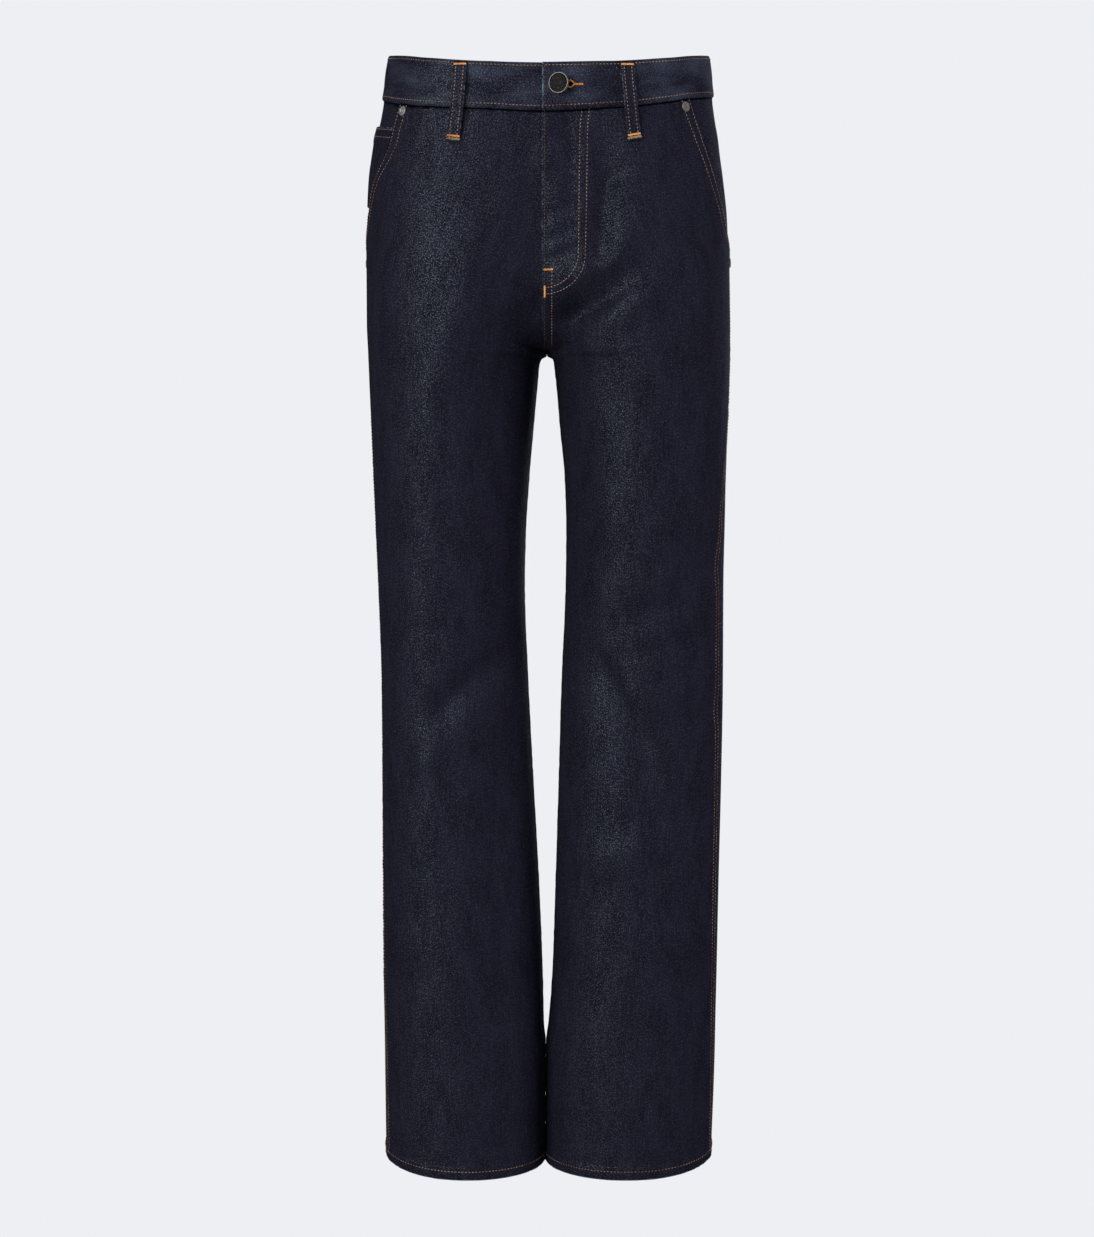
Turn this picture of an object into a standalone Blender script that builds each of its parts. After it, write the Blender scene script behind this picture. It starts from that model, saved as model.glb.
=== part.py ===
"""Straight leg jeans, filled out as when worn, with nobody in them.

Metres, +Z up, the front towards -Y. The origin is the middle of the waist ring, level with the middle
of the waistband at the sides. Left and right are the wearer's, so the wearer's left is +X.

Every piece of cloth is a wall on one surface. A place on it is (side, turn, z). The turn runs round one
half of the garment: 0 at the centre front or the inseam, 1 where the front stands out most, 2 at the
widest point of the side, 3 where the back stands out most, 4 at the centre back or the inseam.
"""

import math
from collections import namedtuple

import bmesh
import bpy
import numpy as np
from mathutils import Matrix, Vector

# ---- Driving sizes ---------------------------------------------------------------------------------

SEAM_GAP = 0.0003
CLOTH = 0.0016
HEM_WALL = 0.0034
HEM_HEIGHT = 0.013
HEM_FOLD_STEP = 0.001
LAYER = CLOTH + SEAM_GAP

HEM_Z = -1.080
HEM_DIP_FROM_Z = -0.900
CROTCH_Z = -0.272
CROTCH_Y = 0.004
HIP_Z = -0.190
WAIST_REF_Z = -0.030

BAND_WALL = 0.0030
BAND_PROUD = 0.0007
BAND_LAP_X = -0.0047
BAND_UNDER_X = 0.0300
FLY_LAP_X = -0.0052
FLY_UNDER_X = 0.0010
LAP_END_Z = -0.2500
LAP_OFF_Z = -0.2605
LAP_FLAT_Z = -0.2670
LAP_LIFT = LAYER + 0.0002
LAP_FADE = 0.40
BAND_LAP_GAP = 0.0005
BAND_LAP_LIFT = BAND_WALL + BAND_LAP_GAP
BAND_LAP_REACH = 0.004
BAND_LAP_EASE = 0.030

BUTTON_X = 0.0114
BUTTON_Z = -0.0238
BUTTON_R = 0.0100
BUTTON_THICK = 0.0026
BUTTON_STANDOFF = 0.0046
BUTTON_TILT = math.radians(-22)
SHANK_R = 0.0024
EYE_R = 0.0030
HOLE_LENGTH = 0.0140
HOLE_WIDTH = 0.0026
HOLE_CUTTER_REACH = 0.003
NECK_FROM = 0.0035
NECK_BEND = 0.0012

LOOP_WIDTH = 0.0125
LOOP_WALL = 0.0021
LOOP_RISE = 0.0042
LOOP_SEAT = 0.0005
LOOP_BELOW_EDGE = 0.0008
LOOP_LEAVES_BAND = 0.72
LOOP_LEAVES_OVER = 0.2
LOOP_ARCH = 0.8

RIVET_R = 0.0048
RIVET_HEIGHT = 0.0016
RIVET_SIDES = 18

YOKE_SIDE_DEPTH = 0.034
YOKE_BACK_DEPTH = 0.076

COIN_TOP_ROW = 1
COIN_FOOT_ROW = 5
COIN_INSET = 0.06
COIN_DOWN_AT_MOUTH = 0.44
COIN_DOWN_AT_SEAM = 0.32

PATCH_TOP_ROW = 2
PATCH_FOOT_ROW = 11
PATCH_OUTER_COLUMN = 3
PATCH_INNER_COLUMN = 9
PATCH_TAPER = 0.4
PATCH_POINT = 0.9
PATCH_FOOT_EASE = 0.05
PATCH_GAP = 0.0006

POCKET_UNDERLAP = 2
FACING_RISE = 0.8
FRONT_COLUMNS = 13
BACK_COLUMNS = 13
FACING_COLUMNS = 4
BAND_ROWS = 3
YOKE_ROWS = 4
LOOP_ROWS = 10
BUTTON_SIDES = 28
EYE_SIDES = 14
SMOOTH_UP_TO = math.radians(40)

LEFT, RIGHT = 1, -1
SIDE_NAMES = {LEFT: "left", RIGHT: "right"}

# ---- Tables ----------------------------------------------------------------------------------------

# How far the sides and the inner legs stand from the middle plane, seen from the front.
Outline = namedtuple("Outline", "z left_side right_side left_inner right_inner")
OUTLINE = [
    Outline(0.034, 0.1560, 0.1520, 0.0002, 0.0002),
    Outline(0.019, 0.1586, 0.1546, 0.0002, 0.0002),
    Outline(0.000, 0.1616, 0.1584, 0.0002, 0.0002),
    Outline(-0.020, 0.1627, 0.1603, 0.0002, 0.0002),
    Outline(-0.045, 0.1659, 0.1645, 0.0002, 0.0002),
    Outline(-0.060, 0.1687, 0.1685, 0.0002, 0.0002),
    Outline(-0.080, 0.1712, 0.1718, 0.0002, 0.0002),
    Outline(-0.100, 0.1741, 0.1747, 0.0002, 0.0002),
    Outline(-0.140, 0.1784, 0.1771, 0.0002, 0.0002),
    Outline(-0.180, 0.1801, 0.1785, 0.0002, 0.0002),
    Outline(-0.240, 0.1810, 0.1785, 0.0002, 0.0002),
    Outline(-0.272, 0.1809, 0.1773, 0.0002, 0.0002),
    Outline(-0.276, 0.1809, 0.1772, 0.0061, 0.0057),
    Outline(-0.285, 0.1807, 0.1768, 0.0078, 0.0083),
    Outline(-0.300, 0.1804, 0.1763, 0.0096, 0.0096),
    Outline(-0.340, 0.1796, 0.1747, 0.0131, 0.0134),
    Outline(-0.400, 0.1781, 0.1725, 0.0185, 0.0185),
    Outline(-0.450, 0.1773, 0.1706, 0.0198, 0.0216),
    Outline(-0.500, 0.1766, 0.1687, 0.0192, 0.0227),
    Outline(-0.600, 0.1768, 0.1657, 0.0151, 0.0191),
    Outline(-0.700, 0.1756, 0.1652, 0.0122, 0.0140),
    Outline(-0.800, 0.1737, 0.1654, 0.0092, 0.0086),
    Outline(-0.900, 0.1722, 0.1659, 0.0057, 0.0046),
    Outline(-0.950, 0.1713, 0.1653, 0.0017, 0.0034),
    Outline(-0.970, 0.1710, 0.1651, -0.0007, 0.0017),
    Outline(-1.080, 0.1678, 0.1643, -0.0014, 0.0024),
]

# The side view: how far the front and back stand out, where across they do, and the centre line of the
# rise, which curves under to the crotch. "spread" is how evenly the turns are spread across the front:
# by angle on the legs, at 0, and by width on the hips, at 1.
Profile = namedtuple("Profile", "z front back front_x back_x rise_front rise_back spread")
PROFILE = [
    Profile(0.034, -0.1115, 0.1110, 0.052, 0.060, -0.1115, 0.1110, 1.00),
    Profile(0.000, -0.1120, 0.1125, 0.052, 0.060, -0.1120, 0.1125, 1.00),
    Profile(-0.050, -0.1135, 0.1170, 0.055, 0.064, -0.1133, 0.1160, 1.00),
    Profile(-0.100, -0.1185, 0.1235, 0.064, 0.072, -0.1180, 0.1210, 1.00),
    Profile(-0.150, -0.1225, 0.1295, 0.072, 0.080, -0.1205, 0.1240, 1.00),
    Profile(-0.190, -0.1235, 0.1315, 0.078, 0.085, -0.1170, 0.1190, 1.00),
    Profile(-0.220, -0.1225, 0.1300, 0.082, 0.088, -0.1085, 0.1100, 0.94),
    Profile(-0.245, -0.1200, 0.1260, 0.086, 0.090, -0.0900, 0.0930, 0.82),
    Profile(-0.260, -0.1180, 0.1225, 0.088, 0.091, -0.0670, 0.0720, 0.68),
    Profile(-0.267, -0.1170, 0.1205, 0.089, 0.092, -0.0430, 0.0500, 0.52),
    Profile(-0.272, -0.1160, 0.1190, 0.090, 0.092, 0.0040, 0.0040, 0.36),
    Profile(-0.320, -0.1080, 0.1080, 0.094, 0.094, 0.0040, 0.0040, 0.00),
    Profile(-0.400, -0.0985, 0.0945, 0.097, 0.097, 0.0040, 0.0040, 0.00),
    Profile(-0.500, -0.0870, 0.0850, 0.098, 0.098, 0.0040, 0.0040, 0.00),
    Profile(-0.570, -0.0800, 0.0830, 0.097, 0.096, 0.0040, 0.0040, 0.00),
    Profile(-0.700, -0.0765, 0.0835, 0.094, 0.094, 0.0040, 0.0040, 0.00),
    Profile(-0.850, -0.0750, 0.0820, 0.089, 0.089, 0.0040, 0.0040, 0.00),
    Profile(-1.080, -0.0745, 0.0800, 0.084, 0.084, 0.0040, 0.0040, 0.00),
]

# The top of the waistband dips at the front and rises at the back.
WaistEdge = namedtuple("WaistEdge", "turn z band_height")
WAIST_EDGE = [
    WaistEdge(0.0, -0.0035, 0.0448),
    WaistEdge(1.0, -0.0021, 0.0428),
    WaistEdge(1.37, 0.0038, 0.0402),
    WaistEdge(1.50, 0.0073, 0.0394),
    WaistEdge(1.70, 0.0122, 0.0392),
    WaistEdge(2.0, 0.0188, 0.0395),
    WaistEdge(3.0, 0.0255, 0.0400),
    WaistEdge(4.0, 0.0290, 0.0410),
]

# How much lower the waist seam runs on the wearer's right, where the band is cut wider over the hip.
SeamDrop = namedtuple("SeamDrop", "turn drop")
SEAM_DROPS = [
    SeamDrop(0.0, 0.0000),
    SeamDrop(0.8, 0.0002),
    SeamDrop(1.10, 0.0012),
    SeamDrop(1.29, 0.0036),
    SeamDrop(1.43, 0.0051),
    SeamDrop(1.56, 0.0056),
    SeamDrop(1.73, 0.0044),
    SeamDrop(2.0, 0.0030),
    SeamDrop(2.5, 0.0010),
    SeamDrop(3.0, 0.0000),
    SeamDrop(4.0, 0.0000),
]

# The hem hangs lower at the front and the inseam than at the side.
HemDip = namedtuple("HemDip", "turn dip")
HEM_DIPS = [
    HemDip(0.0, 0.0095),
    HemDip(1.0, 0.0075),
    HemDip(2.0, 0.0000),
    HemDip(3.0, 0.0030),
    HemDip(4.0, 0.0095),
]

# The side seam as a turn, forward of the widest point down the thigh.
SideSeam = namedtuple("SideSeam", "z left right")
SIDE_SEAM = [
    SideSeam(0.034, 2.03, 2.07),
    SideSeam(-0.200, 2.03, 2.07),
    SideSeam(-0.300, 1.93, 2.05),
    SideSeam(-0.360, 1.85, 2.02),
    SideSeam(-0.440, 1.76, 2.02),
    SideSeam(-0.500, 1.75, 2.02),
    SideSeam(-0.650, 1.78, 2.00),
    SideSeam(-0.800, 1.80, 1.94),
    SideSeam(-0.950, 1.83, 1.88),
    SideSeam(-1.080, 1.90, 1.86),
]

# The slanted edge of each pocket mouth, as a turn, down to where it meets the side seam.
PocketEdge = namedtuple("PocketEdge", "z left right")
POCKET_EDGE = [
    PocketEdge(-0.020, 1.490, 1.545),
    PocketEdge(-0.050, 1.536, 1.572),
    PocketEdge(-0.070, 1.576, 1.580),
    PocketEdge(-0.085, 1.612, 1.612),
    PocketEdge(-0.100, 1.644, 1.700),
    PocketEdge(-0.120, 1.695, 1.785),
    PocketEdge(-0.145, 1.765, 1.865),
    PocketEdge(-0.160, 1.835, 1.945),
    PocketEdge(-0.178, 2.032, 2.072),
]

# The large folds, as soft lines on the front or the back. Depth is inwards, and a ridge is negative.
Fold = namedtuple("Fold", "face x_from z_from x_to z_to width depth")
FRONT, BACK = -1, 1
FOLDS = [
    Fold(FRONT, 0.012, -0.245, 0.098, -0.180, 0.016, 0.0060),
    Fold(FRONT, 0.036, -0.260, 0.100, -0.214, 0.017, -0.0045),
    Fold(FRONT, 0.060, -0.080, 0.048, -0.160, 0.018, 0.0032),
    Fold(FRONT, -0.020, -0.235, -0.040, -0.330, 0.020, 0.0035),
    Fold(FRONT, -0.035, -0.552, -0.108, -0.622, 0.020, 0.0040),
    Fold(FRONT, -0.045, -0.600, -0.120, -0.665, 0.022, -0.0025),
    Fold(FRONT, -0.052, -0.670, -0.046, -0.930, 0.022, 0.0035),
    Fold(FRONT, 0.056, -0.590, 0.122, -0.745, 0.022, 0.0045),
    Fold(FRONT, 0.050, -0.770, 0.132, -0.752, 0.018, -0.0030),
    Fold(FRONT, 0.092, -0.530, 0.160, -0.478, 0.017, 0.0035),
    Fold(FRONT, 0.110, -0.640, 0.160, -0.622, 0.014, 0.0030),
    Fold(BACK, 0.015, -0.262, 0.105, -0.246, 0.016, 0.0055),
    Fold(BACK, -0.015, -0.264, -0.110, -0.250, 0.017, 0.0050),
    Fold(BACK, 0.030, -0.292, 0.125, -0.262, 0.018, 0.0050),
    Fold(BACK, -0.028, -0.300, -0.120, -0.276, 0.019, 0.0045),
    Fold(BACK, 0.040, -0.545, 0.140, -0.575, 0.017, 0.0045),
    Fold(BACK, -0.032, -0.560, -0.135, -0.590, 0.018, 0.0050),
    Fold(BACK, 0.035, -0.605, 0.120, -0.640, 0.019, 0.0035),
    Fold(BACK, -0.045, -0.625, -0.140, -0.640, 0.017, 0.0035),
    Fold(BACK, 0.060, -0.760, 0.120, -0.900, 0.024, 0.0030),
    Fold(BACK, -0.060, -0.780, -0.110, -0.920, 0.024, 0.0030),
]

# Rows down a panel: the height at the outer side, and at the centre or inner side of the same row, which
# follows the rise round under the crotch.
Row = namedtuple("Row", "outer inner")
HIP_ROWS = [
    Row(-0.030, -0.030),
    Row(-0.050, -0.050),
    Row(-0.070, -0.071),
    Row(-0.090, -0.092),
    Row(-0.110, -0.113),
    Row(-0.130, -0.134),
    Row(-0.150, -0.155),
    Row(-0.166, -0.171),
    Row(-0.174, -0.180),
    Row(-0.190, -0.200),
    Row(-0.207, -0.220),
    Row(-0.223, -0.237),
    Row(-0.238, LAP_END_Z),
    Row(-0.250, LAP_OFF_Z),
    Row(-0.260, LAP_FLAT_Z),
    Row(-0.266, -0.2705),
    Row(-0.272, CROTCH_Z),
]
LEG_ROWS = [
    Row(-0.285, -0.275),
    Row(-0.298, -0.282),
    Row(-0.311, -0.297),
    Row(-0.326, -0.318),
    Row(-0.346, -0.343),
]
STRAIGHT_ROW_STEP = 0.0275

# The belt loops, by the turns of their two ends. The front ones lean outwards towards the foot.
Loop = namedtuple("Loop", "place side top_turn foot_turn foot_z")
LOOPS = [
    Loop("front_left", LEFT, 1.109, 1.111, -0.0755),
    Loop("front_right", RIGHT, 1.147, 1.139, -0.0768),
    Loop("side_left", LEFT, 2.69, 2.70, -0.0560),
    Loop("side_right", RIGHT, 2.71, 2.72, -0.0560),
    Loop("back", LEFT, 4.0, 4.0, -0.0480),
]

# The rivets. The seat is how far the base stands off the surface, less the flat of the panel's facet.
Rivet = namedtuple("Rivet", "place side turn z seat")
RIVETS = [
    Rivet("upper_left", LEFT, 1.461, -0.0407, 0.0002),
    Rivet("upper_right", RIGHT, 1.515, -0.0439, 0.0002),
    Rivet("lower_left", LEFT, 1.975, -0.1815, 0.0001),
    Rivet("lower_right", RIGHT, 2.030, -0.1815, 0.0003),
]

# Turned outlines, ring by ring from the base out: how far up, as a share of the height, and how wide, as a
# share of the radius. The button has a raised rim round a sunk face, and the rivet a raised ring and a nub.
Ring = namedtuple("Ring", "up wide")
BUTTON_RINGS = [
    Ring(0.00, 0.550),
    Ring(0.08, 0.930),
    Ring(0.45, 1.000),
    Ring(0.90, 0.975),
    Ring(1.00, 0.940),
    Ring(0.90, 0.868),
    Ring(0.62, 0.832),
    Ring(0.66, 0.400),
]
RIVET_RINGS = [
    Ring(0.00, 0.92),
    Ring(0.25, 1.00),
    Ring(0.75, 0.86),
    Ring(0.95, 0.66),
    Ring(0.70, 0.44),
    Ring(0.72, 0.30),
    Ring(1.05, 0.20),
]

Material = namedtuple("Material", "name colour roughness metallic")
DENIM = Material("denim", (0.018, 0.022, 0.045), 0.85, 0.0)
NICKEL = Material("nickel", (0.55, 0.55, 0.55), 0.35, 1.0)


# ---- The surface -----------------------------------------------------------------------------------


class Curve:
    """A smooth line through the values of a table, which never passes beyond them."""

    def __init__(self, places, values):
        order = np.argsort(places)
        self.places = np.asarray(places, float)[order]
        self.values = np.asarray(values, float)[order]
        steps = np.diff(self.places)
        slopes = np.diff(self.values) / steps
        self.slopes = np.zeros(len(self.places))
        self.slopes[0], self.slopes[-1] = slopes[0], slopes[-1]
        for i in range(1, len(slopes)):
            if slopes[i - 1] * slopes[i] > 0:
                before = 2 * steps[i] + steps[i - 1]
                after = steps[i] + 2 * steps[i - 1]
                self.slopes[i] = (before + after) / (before / slopes[i - 1] + after / slopes[i])

    def __call__(self, place):
        place = np.clip(place, self.places[0], self.places[-1])
        i = np.clip(np.searchsorted(self.places, place, side="right") - 1, 0, len(self.places) - 2)
        step = self.places[i + 1] - self.places[i]
        t = (place - self.places[i]) / step
        rise = self.values[i + 1] - self.values[i]
        ease = t * t * (3 - 2 * t)
        start = t * (1 - t) ** 2 * step * self.slopes[i]
        end = t * t * (t - 1) * step * self.slopes[i + 1]
        return self.values[i] + rise * ease + start + end


def column(table, place, value):
    return Curve([getattr(row, place) for row in table], [getattr(row, value) for row in table])


SIDE_X = {LEFT: column(OUTLINE, "z", "left_side"), RIGHT: column(OUTLINE, "z", "right_side")}
INNER_X = {LEFT: column(OUTLINE, "z", "left_inner"), RIGHT: column(OUTLINE, "z", "right_inner")}
PROFILES = {name: column(PROFILE, "z", name) for name in Profile._fields[1:]}
HEM_DIP = column(HEM_DIPS, "turn", "dip")
WAIST_TOP = column(WAIST_EDGE, "turn", "z")
BAND_HEIGHT = column(WAIST_EDGE, "turn", "band_height")
SEAM_DROP = column(SEAM_DROPS, "turn", "drop")
SEAM_TURN = {LEFT: column(SIDE_SEAM, "z", "left"), RIGHT: column(SIDE_SEAM, "z", "right")}
POCKET_TURN = {LEFT: column(POCKET_EDGE, "z", "left"), RIGHT: column(POCKET_EDGE, "z", "right")}

SIDE_ROUNDNESS = 2.25
WEB_STEEPNESS = 2.5
FOLD_FADE_AT_HEM = 0.08
FOLD_FADE_AT_WAIST = 0.04
FOLD_FADE_AT_INSEAM = 0.012
FOLD_FACING = 1.6
ON_SEAM = 0.02
ROW_BEND = 0.8
SEAM_PROBE = 0.005
SEAM_SIDE = 0.01
SETTLING_PASSES = 4
LAP_TURN = {LEFT: 0.035, RIGHT: 0.070}
TURN_BEFORE_CENTRE = 0.020
WEB_BLEND = 0.028
SLOPE_STEP = 0.0004
TINY = 0.00002
POCKET_FOOT_Z = POCKET_EDGE[-1].z


def smooth(t):
    t = np.clip(t, 0, 1)
    return t * t * (3 - 2 * t)


def section(side, turn, z):
    """Where the outside of the garment is at a turn and height, before folds, with x always outwards."""
    inner_x, side_x = INNER_X[side](z), SIDE_X[side](z)
    spread = PROFILES["spread"](z)
    is_front = turn < 2
    t = np.where(is_front, turn, 4 - turn)
    peak_x = np.where(is_front, PROFILES["front_x"](z), PROFILES["back_x"](z))
    peak_y = np.where(is_front, PROFILES["front"](z), PROFILES["back"](z))
    rise_y = np.where(is_front, PROFILES["rise_front"](z), PROFILES["rise_back"](z))

    inward = np.clip(1 - t, 0, 1) * math.pi / 2
    round_x = peak_x - (peak_x - inner_x) * np.sin(inward)
    flat_x = inner_x + (peak_x - inner_x) * np.clip(t, 0, 1)
    beyond = np.maximum(-t, 0) * TURN_BEFORE_CENTRE
    near_x = round_x + (flat_x - round_x) * spread + beyond
    lean = np.clip((peak_x - near_x) / (peak_x - inner_x), 0, 1)
    thigh = np.abs(peak_y - CROTCH_Y) * np.sqrt(1 - lean**2)
    web = np.abs(rise_y - CROTCH_Y)
    blend = np.minimum(np.minimum(WEB_BLEND, np.abs(peak_y - rise_y)), (z - CROTCH_Z) * WEB_STEEPNESS)
    blend = np.maximum(blend, TINY)
    share = np.clip(0.5 + (web - thigh) / (2 * blend), 0, 1)
    stands_out = thigh + (web - thigh) * share + blend * share * (1 - share)
    stands_out = np.where(z > CROTCH_Z, stands_out, thigh)
    near_y = CROTCH_Y + np.sign(peak_y) * stands_out
    near_x = near_x - 2 * beyond

    outward = np.clip(t - 1, 0, 1) * math.pi / 2
    power = 2 / SIDE_ROUNDNESS
    far_x = peak_x + (side_x - peak_x) * np.sin(outward) ** power
    far_y = CROTCH_Y + (peak_y - CROTCH_Y) * np.clip(np.cos(outward), 0, 1) ** power
    return np.where(t < 1, near_x, far_x), np.where(t < 1, near_y, far_y)


def fold_depth(x, z, facing_y):
    """How far the folds push the cloth in at a place, by distance from each fold's line."""
    depth = np.zeros(np.shape(x))
    for fold in FOLDS:
        run = np.array([fold.x_to - fold.x_from, fold.z_to - fold.z_from])
        length = np.hypot(*run)
        along = ((x - fold.x_from) * run[0] + (z - fold.z_from) * run[1]) / length**2
        on_line = np.clip(along, 0, 1)
        away_x = x - (fold.x_from + run[0] * on_line)
        away_z = z - (fold.z_from + run[1] * on_line)
        fade = np.exp(-(away_x**2 + away_z**2) / fold.width**2)
        facing = smooth(facing_y * fold.face * FOLD_FACING)
        depth = depth + fold.depth * fade * facing
    return depth


def outside(side, turn, z):
    """Points on the outside of the garment, folds included."""
    turn, z = np.broadcast_arrays(np.asarray(turn, float), np.asarray(z, float))
    x, y = section(side, turn, z)
    ahead_x, ahead_y = section(side, turn + SLOPE_STEP, z)
    behind_x, behind_y = section(side, turn - SLOPE_STEP, z)
    normal = np.stack([ahead_y - behind_y, behind_x - ahead_x], -1)
    normal = normal / np.maximum(np.linalg.norm(normal, axis=-1, keepdims=True), 1e-12)
    depth = fold_depth(x * side, z, normal[..., 1])
    depth = depth * smooth((z - HEM_Z) / FOLD_FADE_AT_HEM)
    depth = depth * smooth((WAIST_REF_Z - z) / FOLD_FADE_AT_WAIST)
    clear = smooth((x - INNER_X[side](z)) / FOLD_FADE_AT_INSEAM)
    x = x - normal[..., 0] * depth * clear
    y = y - normal[..., 1] * depth
    return np.stack([x * side, y, z], -1)


def outward(side, turn, z):
    """Unit normals of that surface, pointing out of the garment."""
    turn, z = np.broadcast_arrays(np.asarray(turn, float), np.asarray(z, float))
    around = outside(side, turn + SLOPE_STEP, z) - outside(side, turn - SLOPE_STEP, z)
    down = outside(side, turn, z - SLOPE_STEP) - outside(side, turn, z + SLOPE_STEP)
    normal = np.cross(down, around) * side
    on_seam = (turn < ON_SEAM) | (turn > 4 - ON_SEAM)
    above = on_seam & (z > CROTCH_Z - TINY)
    below = on_seam & (z < CROTCH_Z + TINY)
    normal[..., 0] = np.where(above, 0, normal[..., 0])
    normal[..., 1] = np.where(below, 0, normal[..., 1])
    return normal / np.maximum(np.linalg.norm(normal, axis=-1, keepdims=True), 1e-12)


def raised(side, turn, z, height):
    height = np.asarray(height, float)[..., None]
    return outside(side, turn, z) + outward(side, turn, z) * height


def turn_at_x(side, x, z, low=0.0, high=2.0):
    """The turn on the front whose point stands at this distance from the middle plane."""
    while high - low > TINY / 2:
        middle = (low + high) / 2
        if abs(float(outside(side, middle, z)[0])) < x:
            low = middle
        else:
            high = middle
    return (low + high) / 2


# ---- Meshes ----------------------------------------------------------------------------------------


def material(finish):
    made = bpy.data.materials.get(finish.name)
    if made:
        return made
    made = bpy.data.materials.new(finish.name)
    made.use_nodes = True
    shader = made.node_tree.nodes["Principled BSDF"]
    shader.inputs["Base Color"].default_value = (*finish.colour, 1)
    shader.inputs["Roughness"].default_value = finish.roughness
    shader.inputs["Metallic"].default_value = finish.metallic
    return made


def add_object(name, points, faces, finish, parent):
    mesh = bpy.data.meshes.new(name)
    mesh.from_pydata([tuple(point) for point in points], [], [tuple(face) for face in faces])
    mesh.materials.append(material(finish))
    mesh.shade_smooth()
    mesh.set_sharp_from_angle(angle=SMOOTH_UP_TO)
    obj = bpy.data.objects.new(name, mesh)
    obj.parent = parent
    bpy.context.collection.objects.link(obj)
    return obj


def turned_out(points, faces):
    """The faces, turned round if they enclose the solid inside out."""
    corners = points[faces]
    volume = np.einsum("ij,ij->i", corners[:, 0], np.cross(corners[:, 1], corners[:, 2])).sum()
    return faces if volume > 0 else faces[:, ::-1]


def wall(name, outer, inner, finish, parent):
    """One closed wall between two grids of points of the same size."""
    rows, columns = outer.shape[:2]
    points = np.concatenate([outer.reshape(-1, 3), inner.reshape(-1, 3)])
    index = np.arange(rows * columns).reshape(rows, columns)
    a, b = index[:-1, :-1].ravel(), index[:-1, 1:].ravel()
    c, d = index[1:, 1:].ravel(), index[1:, :-1].ravel()
    front = np.concatenate([np.stack([a, b, c], 1), np.stack([a, c, d], 1)])
    rim = np.concatenate([index[0, :-1], index[:-1, -1], index[-1, :0:-1], index[:0:-1, 0]])
    after = np.roll(rim, -1)
    count = rows * columns
    sides = np.concatenate(
        [np.stack([rim, rim + count, after], 1), np.stack([after, rim + count, after + count], 1)]
    )
    faces = np.concatenate([front, front[:, ::-1] + count, sides])
    return add_object(name, points, turned_out(points, faces), finish, parent)


# ---- Where the seams run ---------------------------------------------------------------------------


def mirrored(turn):
    """The same place as a turn of the other half, for a turn before the centre front."""
    return np.where(turn < 0, -turn * TURN_BEFORE_CENTRE / PROFILE[0].front_x, turn)


def waist_seam(turn):
    return WAIST_TOP(mirrored(turn)) - BAND_HEIGHT(mirrored(turn))


def seam_drop(side, turn):
    return SEAM_DROP(turn) if side == RIGHT else np.zeros(np.shape(turn))


def yoke_seam(side, turn):
    seam = SEAM_TURN[side](HIP_Z)
    across = np.clip((turn - seam) / (4 - seam), 0, 1)
    return waist_seam(turn) - YOKE_SIDE_DEPTH - (YOKE_BACK_DEPTH - YOKE_SIDE_DEPTH) * across


def panel_rows():
    """All the rows of a panel, from the waist seam to the hem."""
    knee = LEG_ROWS[-1].outer
    hem_fold = HEM_Z + HEM_HEIGHT
    steps = round((knee - hem_fold) / STRAIGHT_ROW_STEP)
    straight = [knee + (hem_fold - knee) * (i + 1) / steps for i in range(steps)]
    rows = HIP_ROWS + LEG_ROWS + [Row(z, z) for z in straight]
    below_fold = hem_fold - HEM_FOLD_STEP
    return rows + [Row(below_fold, below_fold), Row(HEM_Z, HEM_Z)]


def row_height(row, turn, top):
    """The height of a row at a turn: level on the legs, and sloping with the panel's top edge above."""
    near_centre = np.where(turn < 2, 1 - turn, turn - 3)
    bend = smooth(near_centre / ROW_BEND)
    level = row.outer + (row.inner - row.outer) * bend
    level = level - HEM_DIP(turn) * np.clip((HEM_DIP_FROM_Z - row.outer) / (HEM_DIP_FROM_Z - HEM_Z), 0, 1)
    above_hip = np.clip((row.outer - HIP_Z) / (WAIST_REF_Z - HIP_Z), 0, 1)
    return level + (top - WAIST_REF_Z) * above_hip


def wall_at(rows):
    """The wall of each row: thicker along the hem, where the cloth is turned up inside."""
    fold_z = HEM_Z + HEM_HEIGHT - HEM_FOLD_STEP / 2
    return np.array([[HEM_WALL if row.outer < fold_z else CLOTH] for row in rows])


def seam_step(side, turn, z):
    """The turn that is half a seam's gap wide here."""
    ahead = outside(side, turn + SEAM_PROBE, z) - outside(side, turn - SEAM_PROBE, z)
    return SEAM_PROBE * SEAM_GAP / np.linalg.norm(ahead, axis=-1)


# ---- The pieces ------------------------------------------------------------------------------------


def front_edge_turn(side, z):
    """The front panel's outer edge: the pocket mouth above, and the side seam below."""
    seam = SEAM_TURN[side](z) - seam_step(side, SEAM_TURN[side](z), z)
    mouth = POCKET_TURN[side](z)
    return np.where(z > POCKET_FOOT_Z, np.minimum(mouth, seam), seam)


def front_start_turn(side, z):
    """The front panel's edge at the centre: the left one laps over the right one."""
    reach = FLY_LAP_X if side == LEFT else -FLY_UNDER_X
    lapped = reach / TURN_BEFORE_CENTRE * smooth((z - LAP_OFF_Z) / (LAP_END_Z - LAP_OFF_Z))
    return np.where(z < CROTCH_Z + TINY, seam_step(side, SEAM_SIDE, z), lapped)


def fly_lift(side, turn, z):
    """How far the left front stands out where it lies on the right one."""
    if side == RIGHT:
        return np.zeros(np.shape(turn))
    lapped = smooth((z - LAP_FLAT_Z) / (LAP_OFF_Z - LAP_FLAT_Z))
    return LAP_LIFT * (1 - smooth((turn - LAP_TURN[LEFT]) / LAP_FADE)) * lapped


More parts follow.
